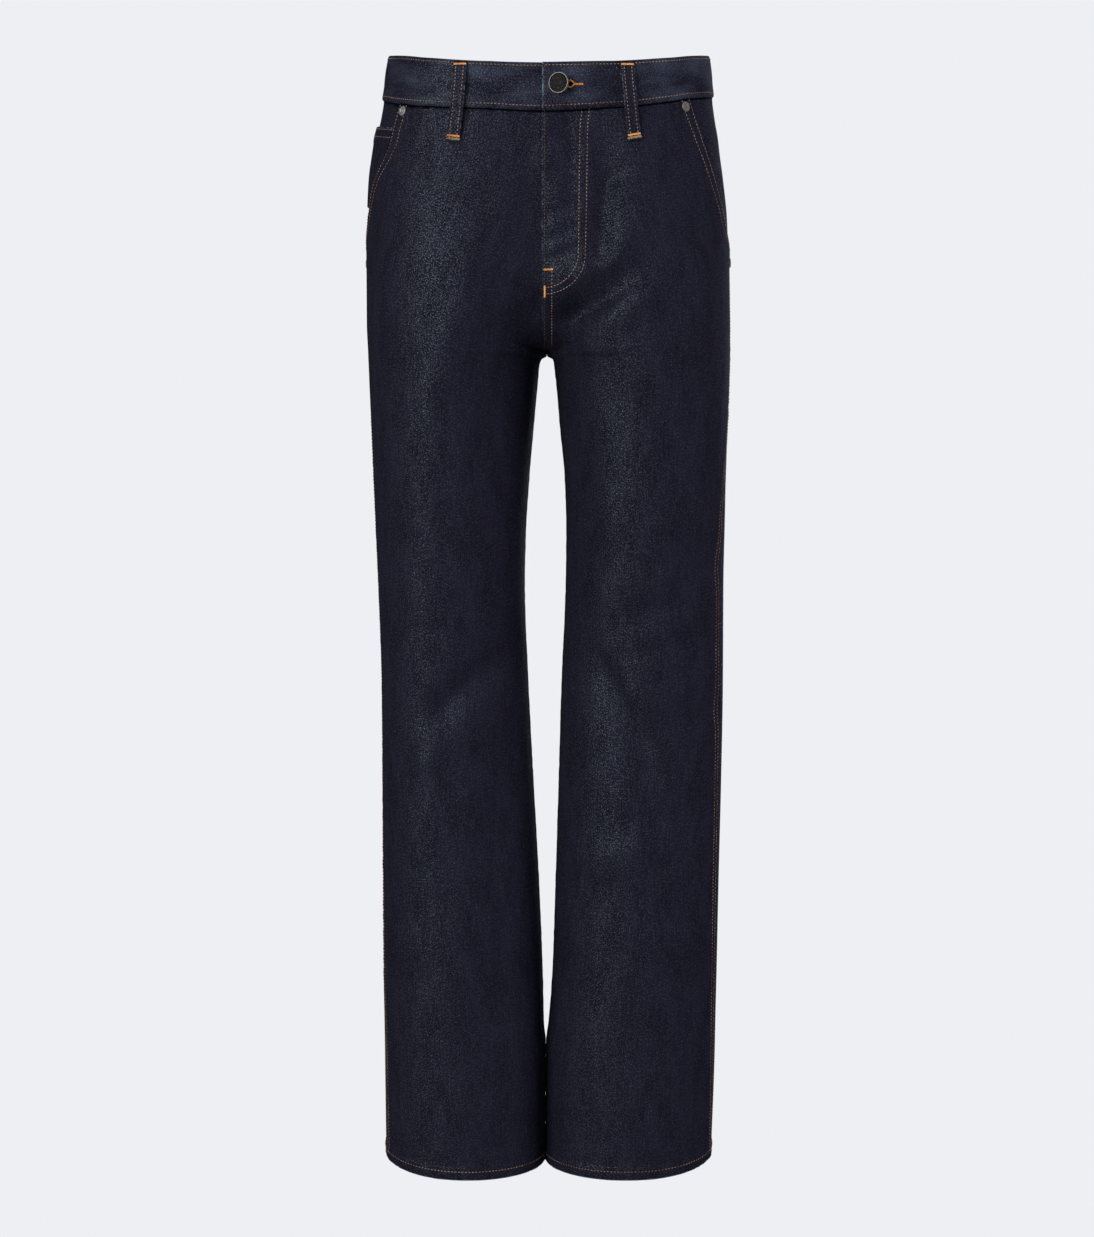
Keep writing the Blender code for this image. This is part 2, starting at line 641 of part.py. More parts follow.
def front_grid(side):
    """Turns and heights of the front panel's points, row by row, with a column close to the lap."""
    rows = panel_rows()
    turns = np.zeros((len(rows), FRONT_COLUMNS))
    heights = np.zeros_like(turns)
    for i, row in enumerate(rows):
        turn = np.linspace(0, 2, FRONT_COLUMNS)
        for _ in range(SETTLING_PASSES):
            height = row_height(row, turn, waist_seam(turn))
            if i == 0:
                height = height - seam_drop(side, turn) - SEAM_GAP
            start = float(front_start_turn(side, height[0]))
            end = float(front_edge_turn(side, height[-1]))
            turn = np.append(start, np.linspace(LAP_TURN[side], end, FRONT_COLUMNS - 1))
        turns[i], heights[i] = turn, height
    return rows, turns, heights


def make_front(side, parent):
    rows, turns, heights = front_grid(side)
    lift = fly_lift(side, turns, heights)
    outer = raised(side, turns, heights, lift)
    inner = raised(side, turns, heights, lift - wall_at(rows))
    return wall(f"front_{SIDE_NAMES[side]}", outer, inner, DENIM, parent)


def facing_grid(side):
    """The pocket facing: the front panel's last columns, and then on to the side seam."""
    rows, turns, heights = front_grid(side)
    last = next(i for i, row in enumerate(rows) if row.outer <= POCKET_FOOT_Z)
    under = POCKET_UNDERLAP
    turns, heights = turns[:last], heights[:last]
    edge, edge_z = turns[:, -1], heights[:, -1]
    seam = SEAM_TURN[side](edge_z)
    seam = seam - seam_step(side, seam, edge_z)
    beyond = np.linspace(0, 1, FACING_COLUMNS)[1:]
    more = edge[:, None] + (seam - edge)[:, None] * beyond
    top = waist_seam(more)
    more_z = np.stack([row_height(row, t, z) for row, t, z in zip(rows[:last], more, top)])
    more_z[0] -= seam_drop(side, more[0]) + SEAM_GAP
    turns = np.concatenate([turns[:, -1 - under :], more], 1)
    heights = np.concatenate([heights[:, -1 - under :], more_z], 1)
    out = np.concatenate([np.zeros(under + 1), beyond])
    sink = LAYER * (1 - FACING_RISE * smooth(out)) * np.ones((last, 1))
    return turns, heights, sink


def make_facing(side, parent):
    turns, heights, sink = facing_grid(side)
    outer = raised(side, turns, heights, -sink)
    inner = raised(side, turns, heights, -sink - CLOTH)
    return wall(f"pocket_facing_{SIDE_NAMES[side]}", outer, inner, DENIM, parent)


def make_back(side, parent):
    rows = panel_rows()
    turns = np.zeros((len(rows), BACK_COLUMNS))
    heights = np.zeros_like(turns)
    for i, row in enumerate(rows):
        turn = np.linspace(2, 4, BACK_COLUMNS)
        for _ in range(SETTLING_PASSES):
            top = yoke_seam(side, turn)
            height = row_height(row, turn, top) - (SEAM_GAP if i == 0 else 0)
            seam = SEAM_TURN[side](height[0])
            start = seam + seam_step(side, seam, height[0])
            in_leg = height[-1] < CROTCH_Z + TINY
            end = 4 - (seam_step(side, 4 - SEAM_SIDE, height[-1]) if in_leg else 0)
            turn = start + (end - start) * np.linspace(0, 1, BACK_COLUMNS)
        turns[i], heights[i] = turn, height
    outer = outside(side, turns, heights)
    inner = raised(side, turns, heights, -wall_at(rows) * np.ones_like(turns))
    wall(f"back_{SIDE_NAMES[side]}", outer, inner, DENIM, parent)
    return outer, outward(side, turns, heights)


def make_yoke(side, parent):
    turns = np.zeros((YOKE_ROWS, BACK_COLUMNS))
    heights = np.zeros_like(turns)
    for i, down in enumerate(np.linspace(0, 1, YOKE_ROWS)):
        turn = np.linspace(2, 4, BACK_COLUMNS)
        for _ in range(SETTLING_PASSES):
            top, foot = waist_seam(turn) - seam_drop(side, turn) - SEAM_GAP, yoke_seam(side, turn)
            height = top + (foot - top) * down
            seam = SEAM_TURN[side](height[0])
            start = seam + seam_step(side, seam, height[0])
            turn = start + (4 - start) * np.linspace(0, 1, BACK_COLUMNS)
        turns[i], heights[i] = turn, height
    outer = outside(side, turns, heights)
    inner = raised(side, turns, heights, -CLOTH * np.ones_like(turns))
    wall(f"yoke_{SIDE_NAMES[side]}", outer, inner, DENIM, parent)


def make_coin_pocket(side, parent):
    """A small patch on the facing, from the mouth of the pocket to the side seam."""
    turns, heights, sink = facing_grid(side)
    edge = POCKET_UNDERLAP
    down = np.linspace(COIN_DOWN_AT_MOUTH, COIN_DOWN_AT_SEAM, turns.shape[1] - edge)
    rows = slice(COIN_TOP_ROW, COIN_FOOT_ROW + 1)
    turns, heights, sink = turns[rows, edge:], heights[rows, edge:], sink[rows, edge:]
    for grid in (turns, heights, sink):
        grid[0] += (grid[1] - grid[0]) * down
        first, last = grid[:, 0].copy(), grid[:, -1].copy()
        grid[:, 0] += (grid[:, 1] - first) * COIN_INSET
        grid[:, -1] += (grid[:, -2] - last) * COIN_INSET
    inner = raised(side, turns, heights, SEAM_GAP - sink)
    outer = raised(side, turns, heights, SEAM_GAP + CLOTH - sink)
    return wall("coin_pocket", outer, inner, DENIM, parent)


def on_grid(grid, row, col):
    """The point between a grid's points, at a row and a column that need not be whole."""
    i, j = min(int(row), grid.shape[0] - 2), min(int(col), grid.shape[1] - 2)
    down, across = row - i, col - j
    upper = grid[i, j] * (1 - across) + grid[i, j + 1] * across
    lower = grid[i + 1, j] * (1 - across) + grid[i + 1, j + 1] * across
    return upper * (1 - down) + lower * down


def make_back_pocket(side, back, parent):
    """A five-sided patch on the back panel, from that panel's own points, moved out."""
    points, normals = back
    rows = list(range(PATCH_TOP_ROW, PATCH_FOOT_ROW + 1)) + [PATCH_FOOT_ROW]
    middle = (PATCH_OUTER_COLUMN + PATCH_INNER_COLUMN) / 2
    columns = np.arange(PATCH_OUTER_COLUMN, PATCH_INNER_COLUMN + 1)
    inner = np.zeros((len(rows), len(columns), 3))
    outer = np.zeros_like(inner)
    for i, row in enumerate(rows):
        taper = PATCH_TAPER * i / (len(rows) - 1)
        for j, col in enumerate(columns):
            at_col = col + taper * ((j == 0) - (j == len(columns) - 1))
            off_middle = abs(at_col - middle) / (PATCH_INNER_COLUMN - middle)
            point_down = (PATCH_POINT * (1 - off_middle) + PATCH_FOOT_EASE) if i == len(rows) - 1 else 0
            place = on_grid(points, row + point_down, at_col)
            normal = on_grid(normals, row + point_down, at_col)
            inner[i, j] = place + normal * PATCH_GAP
            outer[i, j] = place + normal * (PATCH_GAP + CLOTH)
    return wall(f"back_pocket_{SIDE_NAMES[side]}", outer, inner, DENIM, parent)


def band_lift(x):
    """How far the upper end of the waistband stands out over the lower end."""
    return BAND_LAP_LIFT * (1 - smooth((x - BAND_UNDER_X - BAND_LAP_REACH) / BAND_LAP_EASE))


def top_edge_turns(side):
    """The turns of the panels' points along the waist seam, so that the waistband's points match them."""
    front = front_grid(side)[1][0, 1:]
    facing = facing_grid(side)[0][0, POCKET_UNDERLAP + 1 :]
    back = np.linspace(facing[-1], 4, BACK_COLUMNS)[1:]
    return np.concatenate([front, facing, back])


def make_waistband(parent):
    """One strip from the upper end at the fly, round by the left side and the back, to the lower end."""
    start = BAND_LAP_X / TURN_BEFORE_CENTRE
    finish = -BAND_UNDER_X / TURN_BEFORE_CENTRE
    places = [(LEFT, start)] + [(LEFT, turn) for turn in top_edge_turns(LEFT)]
    places += [(RIGHT, turn) for turn in top_edge_turns(RIGHT)[-2::-1]]
    places += [(RIGHT, turn) for turn in np.linspace(0, finish, 4)]
    outer = np.zeros((BAND_ROWS, len(places), 3))
    inner = np.zeros_like(outer)
    for j, (side, turn) in enumerate(places):
        same_turn = float(mirrored(turn))
        band_height = BAND_HEIGHT(same_turn) + seam_drop(side, turn)
        heights = WAIST_TOP(same_turn) - band_height * np.linspace(0, 1, BAND_ROWS)
        base = outside(side, turn, heights)
        lift = band_lift(base[:, 0]) if side == LEFT and turn < 2 else np.zeros(BAND_ROWS)
        outer[:, j] = raised(side, turn, heights, BAND_PROUD + lift)
        inner[:, j] = raised(side, turn, heights, BAND_PROUD + lift - BAND_WALL)
    band = wall("waistband", outer, inner, DENIM, parent)
    cut_buttonhole(band)
    return band


def button_frame(height):
    """A point at this height over the waistband where the button sits, with its axes: across, up, out."""
    turn = turn_at_x(LEFT, BUTTON_X, BUTTON_Z)
    out = Vector(outward(LEFT, turn, BUTTON_Z))
    place = Vector(outside(LEFT, turn, BUTTON_Z)) + out * height
    across = Vector((0, 0, 1)).cross(out)
    across.normalize()
    return place, across, out.cross(across), out


def cut_buttonhole(band):
    """A keyhole through the upper end alone: an eye round the shank, and a slot away from the edge."""
    outline = []
    opening = math.asin(HOLE_WIDTH / 2 / EYE_R)
    for i in range(EYE_SIDES + 1):
        angle = opening + (2 * math.pi - 2 * opening) * i / EYE_SIDES
        outline.append((EYE_R * math.cos(angle), EYE_R * math.sin(angle)))
    outline.append((HOLE_LENGTH, -HOLE_WIDTH / 2))
    outline.append((HOLE_LENGTH, HOLE_WIDTH / 2))
    near, across, up, _ = button_frame(BAND_PROUD + BAND_LAP_LIFT + HOLE_CUTTER_REACH)
    far = button_frame(BAND_PROUD + BAND_LAP_GAP / 2)[0]
    count = len(outline)
    points = [end + across * a + up * b for end in (near, far) for a, b in outline]
    faces = [list(range(count)), list(range(2 * count - 1, count - 1, -1))]
    faces += [(i, i + count, (i + 1) % count + count, (i + 1) % count) for i in range(count)]
    mesh = bpy.data.meshes.new("buttonhole_cutter")
    mesh.from_pydata(points, [], faces)
    work = bmesh.new()
    work.from_mesh(mesh)
    bmesh.ops.recalc_face_normals(work, faces=work.faces)
    work.to_mesh(mesh)
    work.free()
    cutter = bpy.data.objects.new("buttonhole_cutter", mesh)
    bpy.context.collection.objects.link(cutter)
    cutter.hide_render = True
    cutter.display_type = "WIRE"
    cut = band.modifiers.new("buttonhole", "BOOLEAN")
    cut.operation = "DIFFERENCE"
    cut.object = cutter


def rings(name, profile, sides, finish, parent):
    """A closed turned solid, from rings of (centre, axis, radius), first to last along its axis."""
    points, faces = [], []
    for centre, axis, radius in profile:
        across = (Vector((0, 0, 1)) - axis * axis.z).normalized()
        beside = axis.cross(across)
        for i in range(sides):
            angle = 2 * math.pi * i / sides
            points.append(centre + (across * math.cos(angle) + beside * math.sin(angle)) * radius)
    for ring in range(len(profile) - 1):
        for i in range(sides):
            a, b = ring * sides + i, ring * sides + (i + 1) % sides
            faces += [(a, b, b + sides), (a, b + sides, a + sides)]
    for ring, centre in ((0, profile[0][0]), (len(profile) - 1, profile[-1][0])):
        points.append(centre)
        middle = len(points) - 1
        for i in range(sides):
            a, b = ring * sides + i, ring * sides + (i + 1) % sides
            faces.append((b, a, middle) if ring == 0 else (a, b, middle))
    points = np.array([tuple(point) for point in points])
    return add_object(name, points, turned_out(points, np.array(faces)), finish, parent)


def make_button(parent):
    """A shank button. Its shank stands on the lower end and passes through the eye of the buttonhole."""
    base, _, _, out = button_frame(BAND_PROUD + SEAM_GAP)
    tilted = Matrix.Rotation(BUTTON_TILT, 3, "Z") @ out
    neck = base + out * (BAND_LAP_LIFT + BUTTON_STANDOFF)
    profile = [(base, out, SHANK_R), (neck - out * NECK_FROM, out, SHANK_R)]
    profile.append((neck - out * NECK_BEND, (out + tilted).normalized(), SHANK_R))
    for ring in BUTTON_RINGS:
        profile.append((neck + tilted * BUTTON_THICK * ring.up, tilted, BUTTON_R * ring.wide))
    return rings("button", profile, BUTTON_SIDES, NICKEL, parent)


def make_rivet(rivet, parent):
    """A round rivet, standing square to the cloth."""
    out = Vector(outward(rivet.side, rivet.turn, rivet.z))
    base = Vector(raised(rivet.side, rivet.turn, rivet.z, rivet.seat))
    profile = [(base + out * RIVET_HEIGHT * ring.up, out, RIVET_R * ring.wide) for ring in RIVET_RINGS]
    return rings(f"rivet_{rivet.place}", profile, RIVET_SIDES, NICKEL, parent)


def make_loop(name, loop, parent):
    """A belt loop: a strip that stands off the waistband, and is sewn down at both its ends."""
    down = np.linspace(0, 1, LOOP_ROWS)
    turn = loop.top_turn + (loop.foot_turn - loop.top_turn) * down
    top = float(WAIST_TOP(loop.top_turn)) - LOOP_BELOW_EDGE
    z = top + (loop.foot_z - top) * down
    on_band = BAND_PROUD * (1 - smooth((down - LOOP_LEAVES_BAND) / LOOP_LEAVES_OVER))
    height = on_band + LOOP_SEAT + LOOP_RISE * np.sin(math.pi * down) ** LOOP_ARCH
    middle = raised(loop.side, turn, z, height)
    out = outward(loop.side, turn, z)
    run = np.gradient(middle, axis=0)
    across = np.cross(out, run)
    across /= np.linalg.norm(across, axis=1, keepdims=True)
    width = np.array([-0.5, 0, 0.5]) * LOOP_WIDTH
    inner = middle[:, None] + across[:, None] * width[None, :, None]
    outer = inner + out[:, None] * LOOP_WALL
    return wall(name, outer, inner, DENIM, parent)


def clear_scene():
    for obj in list(bpy.data.objects):
        bpy.data.objects.remove(obj, do_unlink=True)


def main():
    clear_scene()
    jeans = bpy.data.objects.new("jeans", None)
    bpy.context.collection.objects.link(jeans)
    for side in (LEFT, RIGHT):
        make_front(side, jeans)
        make_facing(side, jeans)
        make_yoke(side, jeans)
        make_back_pocket(side, make_back(side, jeans), jeans)
    make_coin_pocket(RIGHT, jeans)
    make_waistband(jeans)
    make_button(jeans)
    for loop in LOOPS:
        make_loop(f"belt_loop_{loop.place}", loop, jeans)
    for rivet in RIVETS:
        make_rivet(rivet, jeans)


main()
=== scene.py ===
"""Straight leg jeans: the cloth, the sewing and the metal of every piece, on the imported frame.

Metres, +Z up, the front towards -Y. Left and right are the wearer's, so the wearer's left is +X.

Every piece of cloth lies on one surface. A place on it is (side, turn, z). The turn runs round one half
of the garment: 0 at the centre front or the inseam, 1 where the front stands out most, 2 at the widest
point of the side, 3 where the back stands out most, 4 at the centre back or the inseam.
"""

import math
from collections import namedtuple

import bmesh
import bpy
import numpy as np
from bpy.props import FloatProperty, FloatVectorProperty, IntProperty, PointerProperty
from mathutils import Matrix, Vector
from mathutils.bvhtree import BVHTree


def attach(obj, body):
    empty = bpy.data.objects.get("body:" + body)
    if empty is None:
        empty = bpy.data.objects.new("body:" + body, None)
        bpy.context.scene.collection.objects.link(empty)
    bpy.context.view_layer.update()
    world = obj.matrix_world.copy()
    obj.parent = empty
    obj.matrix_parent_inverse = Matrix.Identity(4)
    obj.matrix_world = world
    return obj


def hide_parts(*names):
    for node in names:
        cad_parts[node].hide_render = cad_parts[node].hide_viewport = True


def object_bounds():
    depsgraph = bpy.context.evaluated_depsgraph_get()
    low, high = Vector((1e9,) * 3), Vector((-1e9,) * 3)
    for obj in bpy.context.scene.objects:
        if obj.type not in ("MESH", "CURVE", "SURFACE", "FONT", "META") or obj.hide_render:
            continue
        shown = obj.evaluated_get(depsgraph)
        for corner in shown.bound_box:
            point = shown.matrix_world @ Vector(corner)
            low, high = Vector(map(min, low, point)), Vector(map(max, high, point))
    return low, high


bl_info = {
    "name": "Straight leg jeans",
    "version": (1, 0, 0),
    "blender": (4, 5, 0),
    "location": "3D View > Sidebar > Jeans",
    "description": "Raw denim jeans with topstitching, rivets and a shank button",
    "category": "Add Mesh",
}

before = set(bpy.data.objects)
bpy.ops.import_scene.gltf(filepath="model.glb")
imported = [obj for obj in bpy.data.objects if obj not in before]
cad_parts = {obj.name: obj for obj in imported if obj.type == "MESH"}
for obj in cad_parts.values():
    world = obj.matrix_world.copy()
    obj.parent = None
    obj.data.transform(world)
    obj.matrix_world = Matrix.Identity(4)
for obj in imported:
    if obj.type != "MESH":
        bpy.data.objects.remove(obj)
CAD_BOX = [list(corner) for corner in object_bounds()]

# ---- Sizes of the cut ------------------------------------------------------------------------------

SEAM_GAP = 0.0003
CLOTH = 0.0016
HEM_WALL = 0.0034
HEM_HEIGHT = 0.013
LAYER = CLOTH + SEAM_GAP

HEM_Z = -1.080
HEM_DIP_FROM_Z = -0.900
CROTCH_Z = -0.272
CROTCH_Y = 0.004
HIP_Z = -0.190
WAIST_REF_Z = -0.030

BAND_WALL = 0.0030
BAND_PROUD = 0.0007
BAND_LAP_X = -0.0047
BAND_UNDER_X = 0.0300
BAND_LAP_GAP = 0.0005
BAND_LAP_LIFT = BAND_WALL + BAND_LAP_GAP
BAND_LAP_CLEAR = 0.004
BAND_LAP_FADE = 0.030
BAND_PAD_FADE = 0.003
BAND_RUBBED = 0.23
FLY_LAP_X = -0.0052
FLY_UNDER_X = 0.0010
LAP_END_Z = -0.2500
LAP_OFF_Z = -0.2605
LAP_FLAT_Z = -0.2670
LAP_LIFT = LAYER + 0.0002
LAP_FADE = 0.40

BUTTON_X = 0.0114
BUTTON_Z = -0.0238
BUTTON_R = 0.0100
BUTTON_RIM = 0.0013
BUTTON_THICK = 0.0026
BUTTON_STANDOFF = 0.0046
BUTTON_TILT = math.radians(-22)
SHANK_R = 0.0024
EYE_R = 0.0030
HOLE_LENGTH = 0.0140
HOLE_WIDTH = 0.0022

LOOP_WIDTH = 0.0125
LOOP_WALL = 0.0021
LOOP_RISE = 0.0042
LOOP_SEAT = 0.0005
LOOP_BELOW_EDGE = 0.0008

RIVET_R = 0.0048

YOKE_SIDE_DEPTH = 0.034
YOKE_BACK_DEPTH = 0.076

COIN_TOP_ROW = 1
COIN_FOOT_ROW = 5
COIN_INSET = 0.06
COIN_DOWN_AT_MOUTH = 0.44
COIN_DOWN_AT_SEAM = 0.32

PATCH_TOP_ROW = 2
PATCH_FOOT_ROW = 11
PATCH_OUTER_COLUMN = 3
PATCH_INNER_COLUMN = 9
PATCH_TAPER = 0.4
PATCH_POINT = 0.9
PATCH_SQUARE = 0.05
PATCH_GAP = 0.0006

POCKET_UNDERLAP = 2
FRONT_COLUMNS = 13
BACK_COLUMNS = 13
FACING_COLUMNS = 4
YOKE_ROWS = 4
BAND_ROWS = 3
BAND_UNDER_COLUMNS = 4

LEFT, RIGHT = 1, -1
SIDE_NAMES = {LEFT: "left", RIGHT: "right"}
FRONT, BACK = -1, 1
BODY = "root"

# ---- Tables of the form ----------------------------------------------------------------------------


def table(kind, *rows):
    """Rows of numbers with the names of their kind."""
    return [kind(*row) for row in rows]


# How far the sides and the inner legs stand from the middle plane, seen from the front.
Outline = namedtuple("Outline", "z left_side right_side left_inner right_inner")
OUTLINE = table(
    Outline,
    (0.034, 0.1560, 0.1520, 0.0002, 0.0002),
    (0.019, 0.1586, 0.1546, 0.0002, 0.0002),
    (0.000, 0.1616, 0.1584, 0.0002, 0.0002),
    (-0.020, 0.1627, 0.1603, 0.0002, 0.0002),
    (-0.045, 0.1659, 0.1645, 0.0002, 0.0002),
    (-0.060, 0.1687, 0.1685, 0.0002, 0.0002),
    (-0.080, 0.1712, 0.1718, 0.0002, 0.0002),
    (-0.100, 0.1741, 0.1747, 0.0002, 0.0002),
    (-0.140, 0.1784, 0.1771, 0.0002, 0.0002),
    (-0.180, 0.1801, 0.1785, 0.0002, 0.0002),
    (-0.240, 0.1810, 0.1785, 0.0002, 0.0002),
    (-0.272, 0.1809, 0.1773, 0.0002, 0.0002),
    (-0.276, 0.1809, 0.1772, 0.0061, 0.0057),
    (-0.285, 0.1807, 0.1768, 0.0078, 0.0083),
    (-0.300, 0.1804, 0.1763, 0.0096, 0.0096),
    (-0.340, 0.1796, 0.1747, 0.0131, 0.0134),
    (-0.400, 0.1781, 0.1725, 0.0185, 0.0185),
    (-0.450, 0.1773, 0.1706, 0.0198, 0.0216),
    (-0.500, 0.1766, 0.1687, 0.0192, 0.0227),
    (-0.600, 0.1768, 0.1657, 0.0151, 0.0191),
    (-0.700, 0.1756, 0.1652, 0.0122, 0.0140),
    (-0.800, 0.1737, 0.1654, 0.0092, 0.0086),
    (-0.900, 0.1722, 0.1659, 0.0057, 0.0046),
    (-0.950, 0.1713, 0.1653, 0.0017, 0.0034),
    (-0.970, 0.1710, 0.1651, -0.0007, 0.0017),
    (-1.080, 0.1678, 0.1643, -0.0014, 0.0024),
)

# The side view: how far the front and back stand out, where across they do, and the centre line of the
# rise, which curves under to the crotch. "spread" is how evenly the turns are spread across the front:
# by angle on the legs, at 0, and by width on the hips, at 1.
Profile = namedtuple("Profile", "z front back front_x back_x rise_front rise_back spread")
PROFILE = table(
    Profile,
    (0.034, -0.1115, 0.1110, 0.052, 0.060, -0.1115, 0.1110, 1.00),
    (0.000, -0.1120, 0.1125, 0.052, 0.060, -0.1120, 0.1125, 1.00),
    (-0.050, -0.1135, 0.1170, 0.055, 0.064, -0.1133, 0.1160, 1.00),
    (-0.100, -0.1185, 0.1235, 0.064, 0.072, -0.1180, 0.1210, 1.00),
    (-0.150, -0.1225, 0.1295, 0.072, 0.080, -0.1205, 0.1240, 1.00),
    (-0.190, -0.1235, 0.1315, 0.078, 0.085, -0.1170, 0.1190, 1.00),
    (-0.220, -0.1225, 0.1300, 0.082, 0.088, -0.1085, 0.1100, 0.94),
    (-0.245, -0.1200, 0.1260, 0.086, 0.090, -0.0900, 0.0930, 0.82),
    (-0.260, -0.1180, 0.1225, 0.088, 0.091, -0.0670, 0.0720, 0.68),
    (-0.267, -0.1170, 0.1205, 0.089, 0.092, -0.0430, 0.0500, 0.52),
    (-0.272, -0.1160, 0.1190, 0.090, 0.092, 0.0040, 0.0040, 0.36),
    (-0.320, -0.1080, 0.1080, 0.094, 0.094, 0.0040, 0.0040, 0.00),
    (-0.400, -0.0985, 0.0945, 0.097, 0.097, 0.0040, 0.0040, 0.00),
    (-0.500, -0.0870, 0.0850, 0.098, 0.098, 0.0040, 0.0040, 0.00),
    (-0.570, -0.0800, 0.0830, 0.097, 0.096, 0.0040, 0.0040, 0.00),
    (-0.700, -0.0765, 0.0835, 0.094, 0.094, 0.0040, 0.0040, 0.00),
    (-0.850, -0.0750, 0.0820, 0.089, 0.089, 0.0040, 0.0040, 0.00),
    (-1.080, -0.0745, 0.0800, 0.084, 0.084, 0.0040, 0.0040, 0.00),
)

# The top of the waistband dips at the front and rises at the back.
WaistEdge = namedtuple("WaistEdge", "turn z band_height")
WAIST_EDGE = table(
    WaistEdge,
    (0.0, -0.0035, 0.0448),
    (1.0, -0.0021, 0.0428),
    (1.37, 0.0038, 0.0402),
    (1.50, 0.0073, 0.0394),
    (1.70, 0.0122, 0.0392),
    (2.0, 0.0188, 0.0395),
    (3.0, 0.0255, 0.0400),
    (4.0, 0.0290, 0.0410),
)

# How much lower the waist seam runs on the wearer's right, where the band is cut wider over the hip.
SeamDrop = namedtuple("SeamDrop", "turn drop")
SEAM_DROPS = table(
    SeamDrop,
    (0.0, 0.0000),
    (0.8, 0.0002),
    (1.10, 0.0012),
    (1.29, 0.0036),
    (1.43, 0.0051),
    (1.56, 0.0056),
    (1.73, 0.0044),
    (2.0, 0.0030),
    (2.5, 0.0010),
    (3.0, 0.0000),
    (4.0, 0.0000),
)

# The hem hangs lower at the front and the inseam than at the side.
HemDip = namedtuple("HemDip", "turn dip")
HEM_DIPS = table(
    HemDip,
    (0.0, 0.0095),
    (1.0, 0.0075),
    (2.0, 0.0000),
    (3.0, 0.0030),
    (4.0, 0.0095),
)

# The side seam as a turn, forward of the widest point down the thigh.
SideSeam = namedtuple("SideSeam", "z left right")
SIDE_SEAM = table(
    SideSeam,
    (0.034, 2.03, 2.07),
    (-0.200, 2.03, 2.07),
    (-0.300, 1.93, 2.05),
    (-0.360, 1.84, 2.02),
    (-0.440, 1.73, 2.02),
    (-0.500, 1.71, 2.02),
    (-0.650, 1.73, 2.00),
    (-0.800, 1.76, 1.92),
    (-0.950, 1.79, 1.84),
    (-1.080, 1.85, 1.81),
)

# The slanted edge of each pocket mouth, as a turn, down to where it meets the side seam.
PocketEdge = namedtuple("PocketEdge", "z left right")
POCKET_EDGE = table(
    PocketEdge,
    (-0.020, 1.490, 1.545),
    (-0.050, 1.536, 1.572),
    (-0.070, 1.576, 1.580),
    (-0.085, 1.612, 1.612),
    (-0.100, 1.644, 1.700),
    (-0.120, 1.695, 1.785),
    (-0.145, 1.765, 1.865),
    (-0.160, 1.835, 1.945),
    (-0.178, 2.032, 2.072),
)

# The large folds, as soft lines on the front or the back. Depth is inwards, and a ridge is negative.
Fold = namedtuple("Fold", "face x_from z_from x_to z_to width depth")
FOLDS = table(
    Fold,
    (FRONT, 0.012, -0.245, 0.098, -0.180, 0.016, 0.0060),
    (FRONT, 0.036, -0.260, 0.100, -0.214, 0.017, -0.0045),
    (FRONT, 0.060, -0.080, 0.048, -0.160, 0.018, 0.0032),
    (FRONT, -0.020, -0.235, -0.040, -0.330, 0.020, 0.0035),
    (FRONT, -0.035, -0.552, -0.108, -0.622, 0.020, 0.0040),
    (FRONT, -0.045, -0.600, -0.120, -0.665, 0.022, -0.0025),
    (FRONT, -0.052, -0.670, -0.046, -0.930, 0.022, 0.0035),
    (FRONT, 0.056, -0.590, 0.122, -0.745, 0.022, 0.0045),
    (FRONT, 0.050, -0.770, 0.132, -0.752, 0.018, -0.0030),
    (FRONT, 0.092, -0.530, 0.160, -0.478, 0.017, 0.0035),
    (FRONT, 0.110, -0.640, 0.160, -0.622, 0.014, 0.0030),
    (BACK, 0.015, -0.262, 0.105, -0.246, 0.016, 0.0055),
    (BACK, -0.015, -0.264, -0.110, -0.250, 0.017, 0.0050),
    (BACK, 0.030, -0.292, 0.125, -0.262, 0.018, 0.0050),
    (BACK, -0.028, -0.300, -0.120, -0.276, 0.019, 0.0045),
    (BACK, 0.040, -0.545, 0.140, -0.575, 0.017, 0.0045),
    (BACK, -0.032, -0.560, -0.135, -0.590, 0.018, 0.0050),
    (BACK, 0.035, -0.605, 0.120, -0.640, 0.019, 0.0035),
    (BACK, -0.045, -0.625, -0.140, -0.640, 0.017, 0.0035),
    (BACK, 0.060, -0.760, 0.120, -0.900, 0.024, 0.0030),
    (BACK, -0.060, -0.780, -0.110, -0.920, 0.024, 0.0030),
)

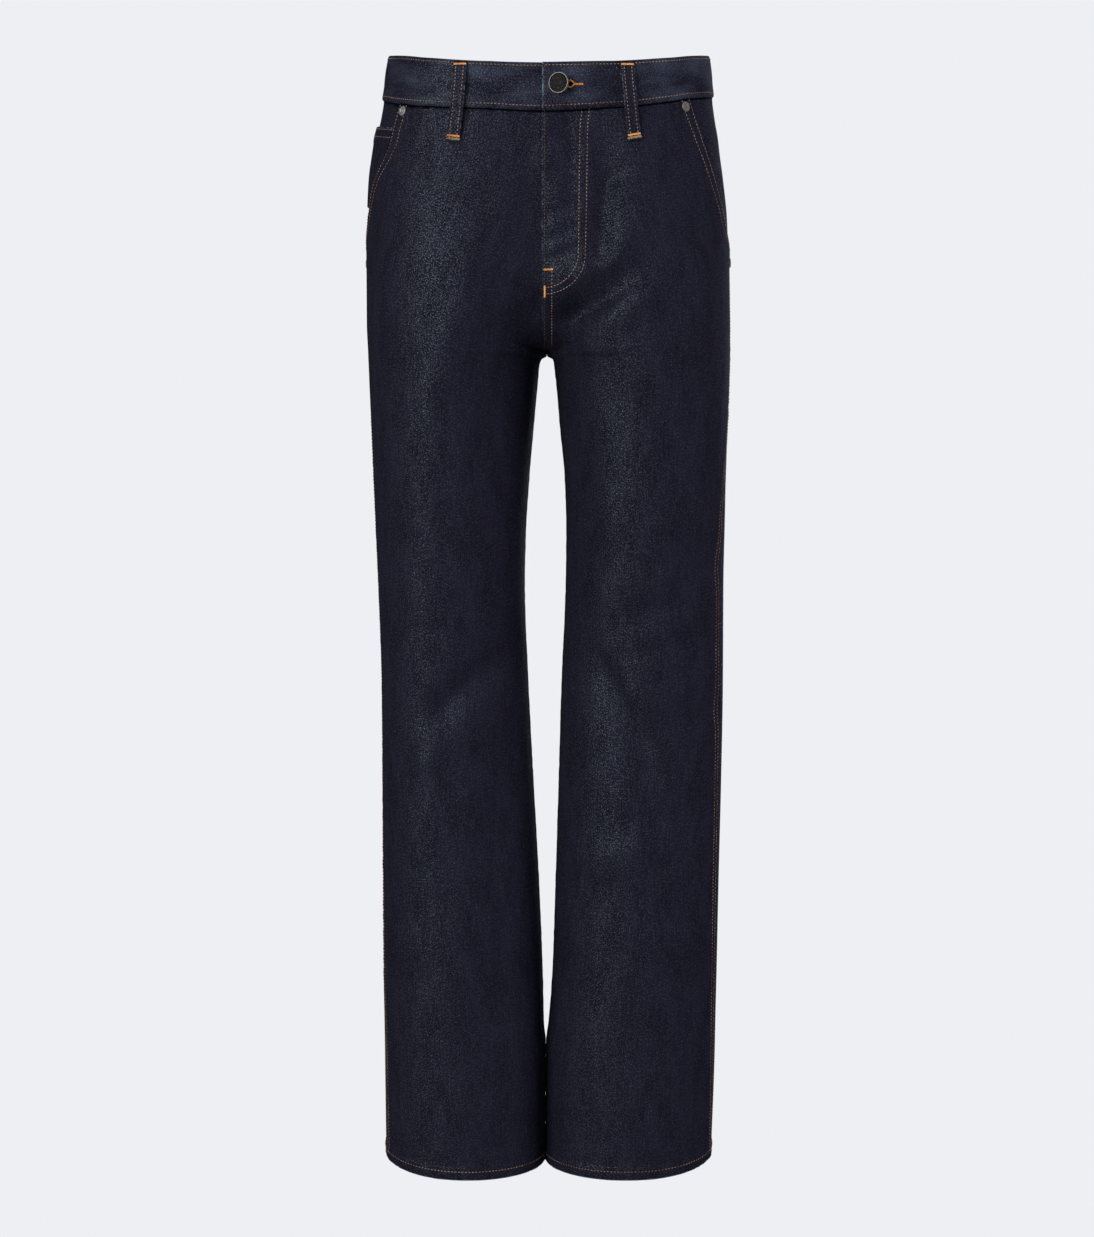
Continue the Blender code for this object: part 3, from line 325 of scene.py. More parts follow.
# The creases that the cloth has besides the large folds: the lines they follow, with how deep each is
# along its way. Each is (x, z, depth), with a ridge negative, and fades out over its width.
Crease = namedtuple("Crease", "face width line")
CREASES = [
    Crease(FRONT, 0.0200, [
        (-0.069, -0.168, -0.0010), (-0.078, -0.210, -0.0022), (-0.091, -0.257, -0.0033),
        (-0.105, -0.304, -0.0037), (-0.113, -0.356, -0.0030), (-0.118, -0.413, -0.0012)
    ]),
    Crease(FRONT, 0.0220, [(-0.041, -0.271, 0.0021), (-0.045, -0.346, 0.0031), (-0.051, -0.432, 0.0016)]),
    Crease(FRONT, 0.0120, [(-0.005, -0.124, 0.0027), (-0.006, -0.178, 0.0054), (-0.006, -0.228, 0.0036)]),
    Crease(FRONT, 0.0200, [(-0.044, -0.085, -0.0011), (-0.047, -0.141, -0.0021), (-0.054, -0.189, -0.0013)]),
    Crease(FRONT, 0.0270, [
        (-0.012, -0.076, 0.0017), (-0.008, -0.145, 0.0044), (-0.007, -0.189, 0.0080),
        (-0.006, -0.234, 0.0097), (-0.008, -0.266, 0.0052)
    ]),
    Crease(FRONT, 0.0080, [(-0.125, -0.541, 0.0011), (-0.091, -0.538, 0.0010)]),
    Crease(FRONT, 0.0160, [(-0.070, -0.514, 0.0015), (-0.028, -0.484, 0.0013)]),
    Crease(FRONT, 0.0110, [(-0.102, -0.612, 0.0028), (-0.073, -0.592, 0.0037), (-0.028, -0.561, 0.0017)]),
    Crease(FRONT, 0.0260, [(-0.083, -0.637, 0.0020), (-0.026, -0.602, 0.0017)]),
    Crease(FRONT, 0.0100, [(-0.108, -0.592, -0.0011), (-0.081, -0.573, -0.0014), (-0.040, -0.543, -0.0006)]),
    Crease(FRONT, 0.0130, [
        (-0.120, -0.384, -0.0007), (-0.119, -0.471, -0.0014), (-0.124, -0.549, -0.0014),
        (-0.120, -0.627, -0.0017), (-0.116, -0.706, -0.0019), (-0.114, -0.785, -0.0008)
    ]),
    Crease(FRONT, 0.0140, [(-0.098, -0.627, 0.0010), (-0.093, -0.706, 0.0013), (-0.090, -0.805, 0.0006)]),
    Crease(FRONT, 0.0130, [(-0.077, -0.668, 0.0011), (-0.038, -0.649, 0.0010)]),
    Crease(FRONT, 0.0150, [
        (0.046, -0.310, -0.0011), (0.056, -0.365, -0.0023), (0.062, -0.432, -0.0026), (0.062, -0.510, -0.0013)
    ]),
    Crease(FRONT, 0.0090, [(0.101, -0.479, 0.0013), (0.153, -0.458, 0.0011)]),
    Crease(FRONT, 0.0070, [(0.084, -0.522, 0.0015), (0.130, -0.516, 0.0013)]),
    Crease(FRONT, 0.0080, [(0.079, -0.561, 0.0015), (0.117, -0.559, 0.0019), (0.148, -0.549, 0.0007)]),
    Crease(FRONT, 0.0110, [(0.106, -0.623, 0.0013), (0.154, -0.598, 0.0011)]),
    Crease(FRONT, 0.0090, [
        (0.046, -0.561, 0.0013), (0.069, -0.608, 0.0026), (0.090, -0.649, 0.0030), (0.107, -0.678, 0.0014)
    ]),
    Crease(FRONT, 0.0090, [(0.063, -0.559, -0.0008), (0.090, -0.612, -0.0017), (0.114, -0.655, -0.0011)]),
    Crease(FRONT, 0.0090, [(0.083, -0.728, 0.0014), (0.136, -0.721, 0.0012)]),
    Crease(FRONT, 0.0100, [(0.056, -0.757, -0.0010), (0.101, -0.751, -0.0008)]),
    Crease(FRONT, 0.0095, [
        (0.080, -0.102, 0.0021), (0.055, -0.115, 0.0042), (0.051, -0.144, 0.0046), (0.050, -0.180, 0.0023)
    ]),
    Crease(FRONT, 0.0140, [(0.050, -0.050, 0.0007), (0.055, -0.094, 0.0006)]),
    Crease(FRONT, 0.0150, [(0.087, -0.076, -0.0004), (0.097, -0.165, -0.0004)]),
    Crease(FRONT, 0.0088, [
        (0.004, -0.242, 0.0024), (0.035, -0.230, 0.0037), (0.061, -0.219, 0.0032), (0.093, -0.202, 0.0020),
        (0.127, -0.183, 0.0007)
    ]),
    Crease(FRONT, 0.0100, [(0.012, -0.215, -0.0024), (0.046, -0.196, -0.0032), (0.082, -0.178, -0.0014)]),
    Crease(FRONT, 0.0260, [(0.022, -0.258, 0.0031), (0.063, -0.239, 0.0043), (0.101, -0.221, 0.0020)]),
    Crease(FRONT, 0.0070, [(-0.005, -0.232, 0.0013), (-0.025, -0.215, 0.0015), (-0.044, -0.208, 0.0006)]),
    Crease(FRONT, 0.0060, [(0.002, -0.070, 0.0021), (0.025, -0.059, 0.0018)]),
    Crease(FRONT, 0.0060, [(0.003, -0.104, 0.0020), (0.025, -0.092, 0.0017)]),
    Crease(FRONT, 0.0062, [(0.002, -0.144, 0.0024), (0.027, -0.135, 0.0020)]),
    Crease(FRONT, 0.0058, [(0.002, -0.167, 0.0018), (0.025, -0.157, 0.0016)]),
    Crease(FRONT, 0.0058, [(0.005, -0.185, 0.0018), (0.027, -0.176, 0.0016)]),
    Crease(FRONT, 0.0080, [(0.020, -0.057, 0.0013), (0.021, -0.122, 0.0022), (0.016, -0.189, 0.0013)]),
    Crease(FRONT, 0.0140, [(0.106, -0.252, 0.0008), (0.149, -0.241, 0.0007)]),
    Crease(FRONT, 0.0160, [(0.050, -0.252, -0.0008), (0.046, -0.310, -0.0007)]),
    Crease(BACK, 0.0090, [(0.018, -0.256, 0.0016), (0.060, -0.250, 0.0024), (0.104, -0.238, 0.0010)]),
    Crease(BACK, 0.0100, [(-0.016, -0.258, 0.0018), (-0.066, -0.252, 0.0022), (-0.112, -0.236, 0.0008)]),
    Crease(BACK, 0.0080, [(0.034, -0.560, 0.0012), (0.080, -0.552, 0.0026), (0.132, -0.566, 0.0014)]),
    Crease(BACK, 0.0090, [(-0.030, -0.574, 0.0016), (-0.078, -0.566, 0.0024), (-0.138, -0.584, 0.0010)]),
    Crease(BACK, 0.0090, [(0.048, -0.592, 0.0010), (0.092, -0.584, 0.0020), (0.140, -0.600, 0.0012)]),
    Crease(BACK, 0.0100, [(-0.044, -0.606, 0.0012), (-0.090, -0.612, 0.0022), (-0.130, -0.600, 0.0008)]),
    Crease(BACK, 0.0120, [(0.070, -0.620, -0.0010), (0.084, -0.700, -0.0016), (0.080, -0.800, -0.0008)]),
    Crease(BACK, 0.0130, [(-0.074, -0.630, -0.0012), (-0.082, -0.720, -0.0014), (-0.086, -0.840, -0.0008)]),
    Crease(BACK, 0.0120, [(0.008, -0.150, 0.0010), (0.018, -0.190, 0.0018), (0.034, -0.236, 0.0010)]),
    Crease(BACK, 0.0120, [(-0.010, -0.160, 0.0012), (-0.022, -0.200, 0.0016), (-0.036, -0.240, 0.0008)]),
    Crease(BACK, 0.0120, [(0.060, -0.880, 0.0010), (0.104, -0.905, 0.0016)]),
    Crease(BACK, 0.0110, [(-0.050, -0.930, 0.0014), (-0.110, -0.900, 0.0010)]),
]

# Rows down a panel: the height at the outer side, and at the centre or inner side of the same row, which
# follows the rise round under the crotch.
Row = namedtuple("Row", "outer inner")
HIP_ROWS = table(
    Row,
    (-0.030, -0.030), (-0.050, -0.050), (-0.070, -0.071), (-0.090, -0.092),
    (-0.110, -0.113), (-0.130, -0.134), (-0.150, -0.155), (-0.166, -0.171),
    (-0.174, -0.180), (-0.190, -0.200), (-0.207, -0.220), (-0.223, -0.237),
    (-0.238, LAP_END_Z), (-0.250, LAP_OFF_Z), (-0.260, LAP_FLAT_Z), (-0.266, -0.2705),
    (-0.272, CROTCH_Z),
)
LEG_ROWS = table(
    Row,
    (-0.285, -0.275), (-0.298, -0.282), (-0.311, -0.297), (-0.326, -0.318), (-0.346, -0.343),
)
STRAIGHT_ROW_STEP = 0.0275

# The belt loops, by the turns of their two ends. The front ones lean outwards towards the foot.
Loop = namedtuple("Loop", "place side top_turn foot_turn foot_z")
LOOPS = table(
    Loop,
    ("front_left", LEFT, 1.109, 1.111, -0.0755),
    ("front_right", RIGHT, 1.147, 1.139, -0.0768),
    ("side_left", LEFT, 2.69, 2.70, -0.0560),
    ("side_right", RIGHT, 2.71, 2.72, -0.0560),
    ("back", LEFT, 4.0, 4.0, -0.0480),
)

# The rivets. The seat is how far the base stands off the surface, less the flat of the panel's facet.
Rivet = namedtuple("Rivet", "place side turn z seat")
RIVETS = table(
    Rivet,
    ("upper_left", LEFT, 1.461, -0.0407, 0.0002),
    ("upper_right", RIGHT, 1.515, -0.0439, 0.0002),
    ("lower_left", LEFT, 1.975, -0.1815, 0.0001),
    ("lower_right", RIGHT, 2.030, -0.1815, 0.0003),
)

# ---- The surface -----------------------------------------------------------------------------------


class Curve:
    """A smooth line through the values of a table, which never passes beyond them."""

    def __init__(self, at, values):
        order = np.argsort(at)
        self.places = np.asarray(at, float)[order]
        self.values = np.asarray(values, float)[order]
        steps = np.diff(self.places)
        slopes = np.diff(self.values) / steps
        self.slopes = np.zeros(len(self.places))
        self.slopes[0], self.slopes[-1] = slopes[0], slopes[-1]
        for i in range(1, len(slopes)):
            if slopes[i - 1] * slopes[i] > 0:
                before = 2 * steps[i] + steps[i - 1]
                after = steps[i] + 2 * steps[i - 1]
                self.slopes[i] = (before + after) / (before / slopes[i - 1] + after / slopes[i])

    def __call__(self, place):
        place = np.clip(place, self.places[0], self.places[-1])
        i = np.clip(np.searchsorted(self.places, place, side="right") - 1, 0, len(self.places) - 2)
        step = self.places[i + 1] - self.places[i]
        t = (place - self.places[i]) / step
        rise = self.values[i + 1] - self.values[i]
        ease = t * t * (3 - 2 * t)
        start = t * (1 - t) ** 2 * step * self.slopes[i]
        end = t * t * (t - 1) * step * self.slopes[i + 1]
        return self.values[i] + rise * ease + start + end


def column(rows, place, value):
    """One value of a table as a smooth line along another."""
    return Curve([getattr(row, place) for row in rows], [getattr(row, value) for row in rows])


SIDE_X = {LEFT: column(OUTLINE, "z", "left_side"), RIGHT: column(OUTLINE, "z", "right_side")}
INNER_X = {LEFT: column(OUTLINE, "z", "left_inner"), RIGHT: column(OUTLINE, "z", "right_inner")}
PROFILES = {name: column(PROFILE, "z", name) for name in Profile._fields[1:]}
HEM_DIP = column(HEM_DIPS, "turn", "dip")
WAIST_TOP = column(WAIST_EDGE, "turn", "z")
BAND_HEIGHT = column(WAIST_EDGE, "turn", "band_height")
SEAM_DROP = column(SEAM_DROPS, "turn", "drop")
SEAM_TURN = {LEFT: column(SIDE_SEAM, "z", "left"), RIGHT: column(SIDE_SEAM, "z", "right")}
POCKET_TURN = {LEFT: column(POCKET_EDGE, "z", "left"), RIGHT: column(POCKET_EDGE, "z", "right")}

SIDE_ROUNDNESS = 2.25
LAP_TURN = {LEFT: 0.035, RIGHT: 0.070}
TURN_BEFORE_CENTRE = 0.020
POCKET_FOOT_Z = POCKET_EDGE[-1].z

# How softly the rise runs into the thighs, and how soon that starts above the crotch.
WEB_BLEND = 0.028
WEB_OPENING = 2.5

# The step over which a slope is measured, a length that counts as none, and how close to the centre or
# the inseam a turn counts as on it.
SLOPE_STEP = 0.0004
TINY = 0.00002
NO_LENGTH = 1e-12
ON_SEAM = 0.02


def smooth(t):
    t = np.clip(t, 0, 1)
    return t * t * (3 - 2 * t)


def unit(vectors):
    """The same directions, each of length 1."""
    return vectors / np.maximum(np.linalg.norm(vectors, axis=-1, keepdims=True), NO_LENGTH)


def section(side, turn, z):
    """Where the outside of the garment is at a turn and height, before folds, with x always outwards."""
    inner_x, side_x = INNER_X[side](z), SIDE_X[side](z)
    spread = PROFILES["spread"](z)
    is_front = turn < 2
    t = np.where(is_front, turn, 4 - turn)
    peak_x = np.where(is_front, PROFILES["front_x"](z), PROFILES["back_x"](z))
    peak_y = np.where(is_front, PROFILES["front"](z), PROFILES["back"](z))
    rise_y = np.where(is_front, PROFILES["rise_front"](z), PROFILES["rise_back"](z))

    inward = np.clip(1 - t, 0, 1) * math.pi / 2
    round_x = peak_x - (peak_x - inner_x) * np.sin(inward)
    flat_x = inner_x + (peak_x - inner_x) * np.clip(t, 0, 1)
    beyond = np.maximum(-t, 0) * TURN_BEFORE_CENTRE
    near_x = round_x + (flat_x - round_x) * spread + beyond
    lean = np.clip((peak_x - near_x) / (peak_x - inner_x), 0, 1)
    thigh = np.abs(peak_y - CROTCH_Y) * np.sqrt(1 - lean**2)
    web = np.abs(rise_y - CROTCH_Y)
    blend = np.minimum(np.minimum(WEB_BLEND, np.abs(peak_y - rise_y)), (z - CROTCH_Z) * WEB_OPENING)
    blend = np.maximum(blend, TINY)
    share = np.clip(0.5 + (web - thigh) / (2 * blend), 0, 1)
    stands_out = thigh + (web - thigh) * share + blend * share * (1 - share)
    stands_out = np.where(z > CROTCH_Z, stands_out, thigh)
    near_y = CROTCH_Y + np.sign(peak_y) * stands_out
    near_x = near_x - 2 * beyond

    onward = np.clip(t - 1, 0, 1) * math.pi / 2
    power = 2 / SIDE_ROUNDNESS
    far_x = peak_x + (side_x - peak_x) * np.sin(onward) ** power
    far_y = CROTCH_Y + (peak_y - CROTCH_Y) * np.clip(np.cos(onward), 0, 1) ** power
    return np.where(t < 1, near_x, far_x), np.where(t < 1, near_y, far_y)


def nearest(x, z, line):
    """How far each place is from a line of (x, z, depth), squared, and the depth where it is nearest."""
    best = np.full(np.shape(x), np.inf)
    depth = np.zeros(np.shape(x))
    for (x0, z0, depth0), (x1, z1, depth1) in zip(line, line[1:]):
        run_x, run_z = x1 - x0, z1 - z0
        along = np.clip(((x - x0) * run_x + (z - z0) * run_z) / (run_x**2 + run_z**2), 0, 1)
        away = (x - x0 - run_x * along) ** 2 + (z - z0 - run_z * along) ** 2
        depth = np.where(away < best, depth0 + (depth1 - depth0) * along, depth)
        best = np.minimum(away, best)
    return best, depth


# Every fold and crease as its face, its width and its line of (x, z, depth).
SOFT_LINES = []
for fold in FOLDS:
    ends = [(fold.x_from, fold.z_from, fold.depth), (fold.x_to, fold.z_to, fold.depth)]
    SOFT_LINES.append((fold.face, fold.width, ends))
SOFT_LINES += [(crease.face, crease.width, crease.line) for crease in CREASES]

# How many widths away a fold still counts, how fast it takes hold where the cloth turns to its face, and
# over what lengths all folds fade out at the hem, the waist seam and the inner leg.
FOLD_REACH = 3.2
FOLD_HOLD = 1.6
STILL_AT_HEM, STILL_AT_WAIST, STILL_AT_INSEAM = 0.08, 0.04, 0.012


def fold_depth(x, z, facing_y):
    """How far the folds and creases push the cloth in at a place, by distance from each one's line."""
    depth = np.zeros(np.shape(x))
    for face, width, line in SOFT_LINES:
        xs, zs, _ = zip(*line)
        reach = FOLD_REACH * width
        near = (x > min(xs) - reach) & (x < max(xs) + reach)
        near &= (z > min(zs) - reach) & (z < max(zs) + reach)
        if near.any():
            away, deep = nearest(x[near], z[near], line)
            depth[near] += deep * np.exp(-away / width**2) * smooth(facing_y[near] * face * FOLD_HOLD)
    return depth


def outside(side, turn, z):
    """Points on the outside of the garment, folds included."""
    turn, z = np.broadcast_arrays(np.asarray(turn, float), np.asarray(z, float))
    x, y = section(side, turn, z)
    ahead_x, ahead_y = section(side, turn + SLOPE_STEP, z)
    behind_x, behind_y = section(side, turn - SLOPE_STEP, z)
    normal = unit(np.stack([ahead_y - behind_y, behind_x - ahead_x], -1))
    depth = fold_depth(x * side, z, normal[..., 1])
    depth = depth * smooth((z - HEM_Z) / STILL_AT_HEM) * smooth((WAIST_REF_Z - z) / STILL_AT_WAIST)
    clear = smooth((x - INNER_X[side](z)) / STILL_AT_INSEAM)
    x = x - normal[..., 0] * depth * clear
    y = y - normal[..., 1] * depth
    return np.stack([x * side, y, z], -1)


def outward(side, turn, z):
    """Unit normals of that surface, pointing out of the garment."""
    turn, z = np.broadcast_arrays(np.asarray(turn, float), np.asarray(z, float))
    around = outside(side, turn + SLOPE_STEP, z) - outside(side, turn - SLOPE_STEP, z)
    down = outside(side, turn, z - SLOPE_STEP) - outside(side, turn, z + SLOPE_STEP)
    normal = np.cross(down, around) * side
    on_seam = (turn < ON_SEAM) | (turn > 4 - ON_SEAM)
    above = on_seam & (z > CROTCH_Z - TINY)
    below = on_seam & (z < CROTCH_Z + TINY)
    normal[..., 0] = np.where(above, 0, normal[..., 0])
    normal[..., 1] = np.where(below, 0, normal[..., 1])
    return unit(normal)


def raised(side, turn, z, height):
    height = np.asarray(height, float)[..., None]
    return outside(side, turn, z) + outward(side, turn, z) * height


HALVINGS = 40


def turn_at_x(side, x, z):
    """The turn on the front whose point stands at this distance from the middle plane."""
    low, high = 0.0, 2.0
    for _ in range(HALVINGS):
        middle = (low + high) / 2
        if abs(float(outside(side, middle, z)[0])) < x:
            low = middle
        else:
            high = middle
    return (low + high) / 2


# ---- Where the seams run ---------------------------------------------------------------------------

# How often a row is laid anew, because its ends move with its height.
LAYINGS = 4

# The last row above the hem stands this far over the hem's fold, and rows below it have the hem's wall.
HEM_ROW_GAP = 0.001

# How far from the centre or the inseam, in turns, a row bends along the rise.
ROW_BEND = 0.8

# The reach in turns over which a seam's width is measured, and a turn close to the inseam.
SEAM_STEP_REACH = 0.005
INSEAM_TURN = 0.01


def mirrored(turn):
    """The same place as a turn of the other half, for a turn before the centre front."""
    return np.where(turn < 0, -turn * TURN_BEFORE_CENTRE / PROFILE[0].front_x, turn)


def waist_seam(turn):
    return WAIST_TOP(mirrored(turn)) - BAND_HEIGHT(mirrored(turn))


def seam_drop(side, turn):
    return SEAM_DROP(turn) if side == RIGHT else np.zeros(np.shape(turn))


def yoke_seam(side, turn):
    seam = SEAM_TURN[side](HIP_Z)
    across = np.clip((turn - seam) / (4 - seam), 0, 1)
    return waist_seam(turn) - YOKE_SIDE_DEPTH - (YOKE_BACK_DEPTH - YOKE_SIDE_DEPTH) * across


def panel_rows():
    """All the rows of a panel, from the waist seam to the hem."""
    knee = LEG_ROWS[-1].outer
    hem_fold = HEM_Z + HEM_HEIGHT
    steps = round((knee - hem_fold) / STRAIGHT_ROW_STEP)
    straight = [knee + (hem_fold - knee) * (i + 1) / steps for i in range(steps)]
    rows = HIP_ROWS + LEG_ROWS + [Row(z, z) for z in straight]
    return rows + [Row(hem_fold - HEM_ROW_GAP, hem_fold - HEM_ROW_GAP), Row(HEM_Z, HEM_Z)]


def row_height(row, turn, top):
    """The height of a row at a turn: level on the legs, and sloping with the panel's top edge above."""
    near_centre = np.where(turn < 2, 1 - turn, turn - 3)
    level = row.outer + (row.inner - row.outer) * smooth(near_centre / ROW_BEND)
    dipped = np.clip((HEM_DIP_FROM_Z - row.outer) / (HEM_DIP_FROM_Z - HEM_Z), 0, 1)
    level = level - HEM_DIP(turn) * dipped
    above_hip = np.clip((row.outer - HIP_Z) / (WAIST_REF_Z - HIP_Z), 0, 1)
    return level + (top - WAIST_REF_Z) * above_hip


def wall_at(rows, down):
    """The wall at places between the rows: thicker along the hem, where the cloth is turned up inside."""
    fold_z = HEM_Z + HEM_HEIGHT
    walls = [HEM_WALL if row.outer < fold_z - HEM_ROW_GAP / 2 else CLOTH for row in rows]
    return np.interp(down, np.arange(len(rows)), walls)[:, None]


def seam_step(side, turn, z):
    """The turn that is half a seam's gap wide here."""
    ahead = outside(side, turn + SEAM_STEP_REACH, z) - outside(side, turn - SEAM_STEP_REACH, z)
    return SEAM_STEP_REACH * SEAM_GAP / np.linalg.norm(ahead, axis=-1)


def beside_seam(side, z, face):
    """The turn of an edge that is sewn at the side seam: the front panel's or the back panel's."""
    seam = SEAM_TURN[side](z)
    return seam + face * seam_step(side, seam, z)


def front_edge_turn(side, z):
    """The front panel's outer edge: the pocket mouth above, and the side seam below."""
    seam = beside_seam(side, z, FRONT)
    return np.where(z > POCKET_FOOT_Z, np.minimum(POCKET_TURN[side](z), seam), seam)


# How far past the middle the panels reach along the rise, so that no light shows through its seam.
SEAM_CLOSED = 0.02


def front_start_turn(side, z):
    """The front panel's edge at the centre: the left one laps over the right one."""
    reach = FLY_LAP_X if side == LEFT else -FLY_UNDER_X
    lapped = reach / TURN_BEFORE_CENTRE * smooth((z - LAP_OFF_Z) / (LAP_END_Z - LAP_OFF_Z))
    lapped = np.minimum(lapped, -SEAM_CLOSED)
    return np.where(z < CROTCH_Z + TINY, seam_step(side, INSEAM_TURN, z), lapped)


def fly_lift(side, turn, z):
    """How far the left front stands out where it lies on the right one."""
    if side == RIGHT:
        return np.zeros(np.shape(turn))
    lapped = smooth((z - LAP_FLAT_Z) / (LAP_OFF_Z - LAP_FLAT_Z))
    return LAP_LIFT * (1 - smooth((turn - LAP_TURN[LEFT]) / LAP_FADE)) * lapped


# How far the cloth is tucked up into the waistband that it is sewn to.
SEAM_TUCK = 0.0012

# How much of a layer the facing comes up again, from the pocket mouth to the side seam.
FACING_RISE = 0.8


def front_grid(side):
    """Turns and heights of the front panel's points, row by row, with a column close to the lap."""
    rows = panel_rows()
    turns = np.zeros((len(rows), FRONT_COLUMNS))
    heights = np.zeros_like(turns)
    for i, row in enumerate(rows):
        turn = np.linspace(0, 2, FRONT_COLUMNS)
        for _ in range(LAYINGS):
            height = row_height(row, turn, waist_seam(turn))
            if i == 0:
                height = height - seam_drop(side, turn) + SEAM_TUCK
            start = float(front_start_turn(side, height[0]))
            end = float(front_edge_turn(side, height[-1]))
            turn = np.append(start, np.linspace(LAP_TURN[side], end, FRONT_COLUMNS - 1))
        turns[i], heights[i] = turn, height
    return rows, turns, heights


def facing_grid(side):
    """The pocket facing: the front panel's last columns, and then on to the side seam."""
    rows, turns, heights = front_grid(side)
    last = next(i for i, row in enumerate(rows) if row.outer <= POCKET_FOOT_Z)
    turns, heights = turns[:last], heights[:last]
    edge, seam = turns[:, -1], beside_seam(side, heights[:, -1], FRONT)
    beyond = np.linspace(0, 1, FACING_COLUMNS)[1:]
    more = edge[:, None] + (seam - edge)[:, None] * beyond
    top = waist_seam(more)
    more_z = np.stack([row_height(row, t, z) for row, t, z in zip(rows[:last], more, top)])
    more_z[0] += SEAM_TUCK - seam_drop(side, more[0])
    turns = np.concatenate([turns[:, -1 - POCKET_UNDERLAP :], more], 1)
    heights = np.concatenate([heights[:, -1 - POCKET_UNDERLAP :], more_z], 1)
    out = np.concatenate([np.zeros(POCKET_UNDERLAP + 1), beyond])
    sink = LAYER * (1 - FACING_RISE * smooth(out)) * np.ones((last, 1))
    return turns, heights, sink


# ---- Cloth -----------------------------------------------------------------------------------------

# How the places between two of the solid's points crowd towards an edge, so that it can roll over.
EDGE_PLACES = np.array([0.0, 0.025, 0.07, 0.16, 0.35, 0.65])
ROLL_WIDTH = 0.0014
FELL_SOFTNESS = 0.0030
PUCKER_REACH = 0.0085
PUCKER_SLANT = 0.8
WEAR_AND_SHADE_REACH = 0.0016
WEAR_AND_SHADE_EVEN, WEAR_AND_SHADE_ON_RIPPLES = 0.75, 0.5

# How each edge of a piece is finished: "fell" is how far the doubled cloth beside it stands up, over how
# wide a strip; "pucker" is how deep the sewing ripples it, at about what spacing; the value after it is how
# much of the dye is rubbed off its fold, or, below zero, how dark a shadow is painted into its seam; and
# "roll" is how far the edge itself turns in.
Edge = namedtuple("Edge", "edge fell width pucker spacing wear roll", defaults=[0.0006])


class Cloth:
    """A piece's outside and inside points and its normals, row by row."""

    def __init__(self, base, normals, lift, thickness, edges=(), rubbed=0.0):
        down = np.linalg.norm(np.diff(base, axis=0), axis=-1)
        across = np.linalg.norm(np.diff(base, axis=1), axis=-1)
        self.down = np.concatenate([np.zeros((1, base.shape[1])), np.cumsum(down, 0)])
        self.across = np.concatenate([np.zeros((base.shape[0], 1)), np.cumsum(across, 1)], 1)
        self.normals = normals
        relief, painted_seam_shade = np.zeros(base.shape[:2]), np.zeros(base.shape[:2])
        self.wear = np.full(base.shape[:2], rubbed)
        for seed, edge in enumerate(edges):
            away = self.away(edge.edge)
            along = self.down if edge.edge in ("left", "right") else self.across
            doubled = 1 - smooth((away - edge.width) / FELL_SOFTNESS)
            ripple = pucker(along + away * PUCKER_SLANT, edge.spacing, seed)
            ripple = ripple * np.exp(-((away / PUCKER_REACH) ** 2))
            rolled = 1 - smooth(away / ROLL_WIDTH)
            relief += edge.fell * doubled + edge.pucker * ripple - edge.roll * rolled
            # How far an edge's rubbed wear and its painted seam shadow reach in from it.
            worn = np.exp(-((away / WEAR_AND_SHADE_REACH) ** 2)) * (WEAR_AND_SHADE_EVEN + WEAR_AND_SHADE_ON_RIPPLES * ripple)
            self.wear = np.maximum(self.wear, edge.wear * worn)
            # Below zero an edge paints a shadow into its seam, where the cloth is drawn near black.
            painted_seam_shade += min(edge.wear, 0) * worn
        self.wear += painted_seam_shade
        self.outer = base + normals * (lift + relief)[..., None]
        self.inner = base + normals * np.asarray(lift - thickness)[..., None]

    def away(self, edge):
        """How far each point is from one edge, along its row or column."""
        return {
            "left": self.across,
            "right": self.across[:, -1:] - self.across,
            "top": self.down,
            "foot": self.down[-1:] - self.down,
        }[edge]

    def area(self):
        upper, lower = self.outer[:-1], self.outer[1:]
        falling, rising = lower[:, 1:] - upper[:, :-1], lower[:, :-1] - upper[:, 1:]
        return float(np.linalg.norm(np.cross(falling, rising), axis=-1).sum() / 2)


def pucker(along, spacing, seed):
    """Uneven ripples along a seam, between -1 and 1, from waves whose lengths have no common measure."""
    phase = 2 * math.pi * along / spacing
    uneven = 1.7 * np.sin(phase / 3.1 + seed) + 1.1 * np.sin(phase / 7.3 + 2 * seed)
    strength = 0.6 + 0.4 * np.sin(phase / 4.7 + 1.3 * seed)
    return np.sin(phase + uneven) * strength


def places(intervals, per, first=EDGE_PLACES):
    """Places between the solid's rows or columns, a few in each interval and more close to both ends."""
    middle = np.linspace(1, intervals - 1, (intervals - 2) * per + 1)
    return np.concatenate([first, middle, intervals - EDGE_PLACES[::-1]])


def finer(grid, rows, columns):
    """A grid of turns or heights, read smoothly at places between its rows and columns."""
    lines = np.arange(grid.shape[0])
    smoothed = np.stack([Curve(lines, grid[:, j])(rows) for j in range(grid.shape[1])], 1)
    across = np.arange(grid.shape[1])
    return np.stack([np.interp(columns, across, line) for line in smoothed])


def surface(side, turns, heights):
    """Points on the garment's surface and normals, where each place may be on either side."""
    side, turns, heights = np.broadcast_arrays(side, turns, heights)
    points, normals = np.zeros((*turns.shape, 3)), np.zeros((*turns.shape, 3))
    for one in (LEFT, RIGHT):
        here = side == one
        if here.any():
            points[here] = outside(one, turns[here], heights[here])
            normals[here] = outward(one, turns[here], heights[here])
    return points, normals


def put(name, data):
    """An object of this mesh, lamp or camera in the scene, unturned at the origin."""
    made = bpy.data.objects.new(name, data)
    bpy.context.scene.collection.objects.link(made)
    return made


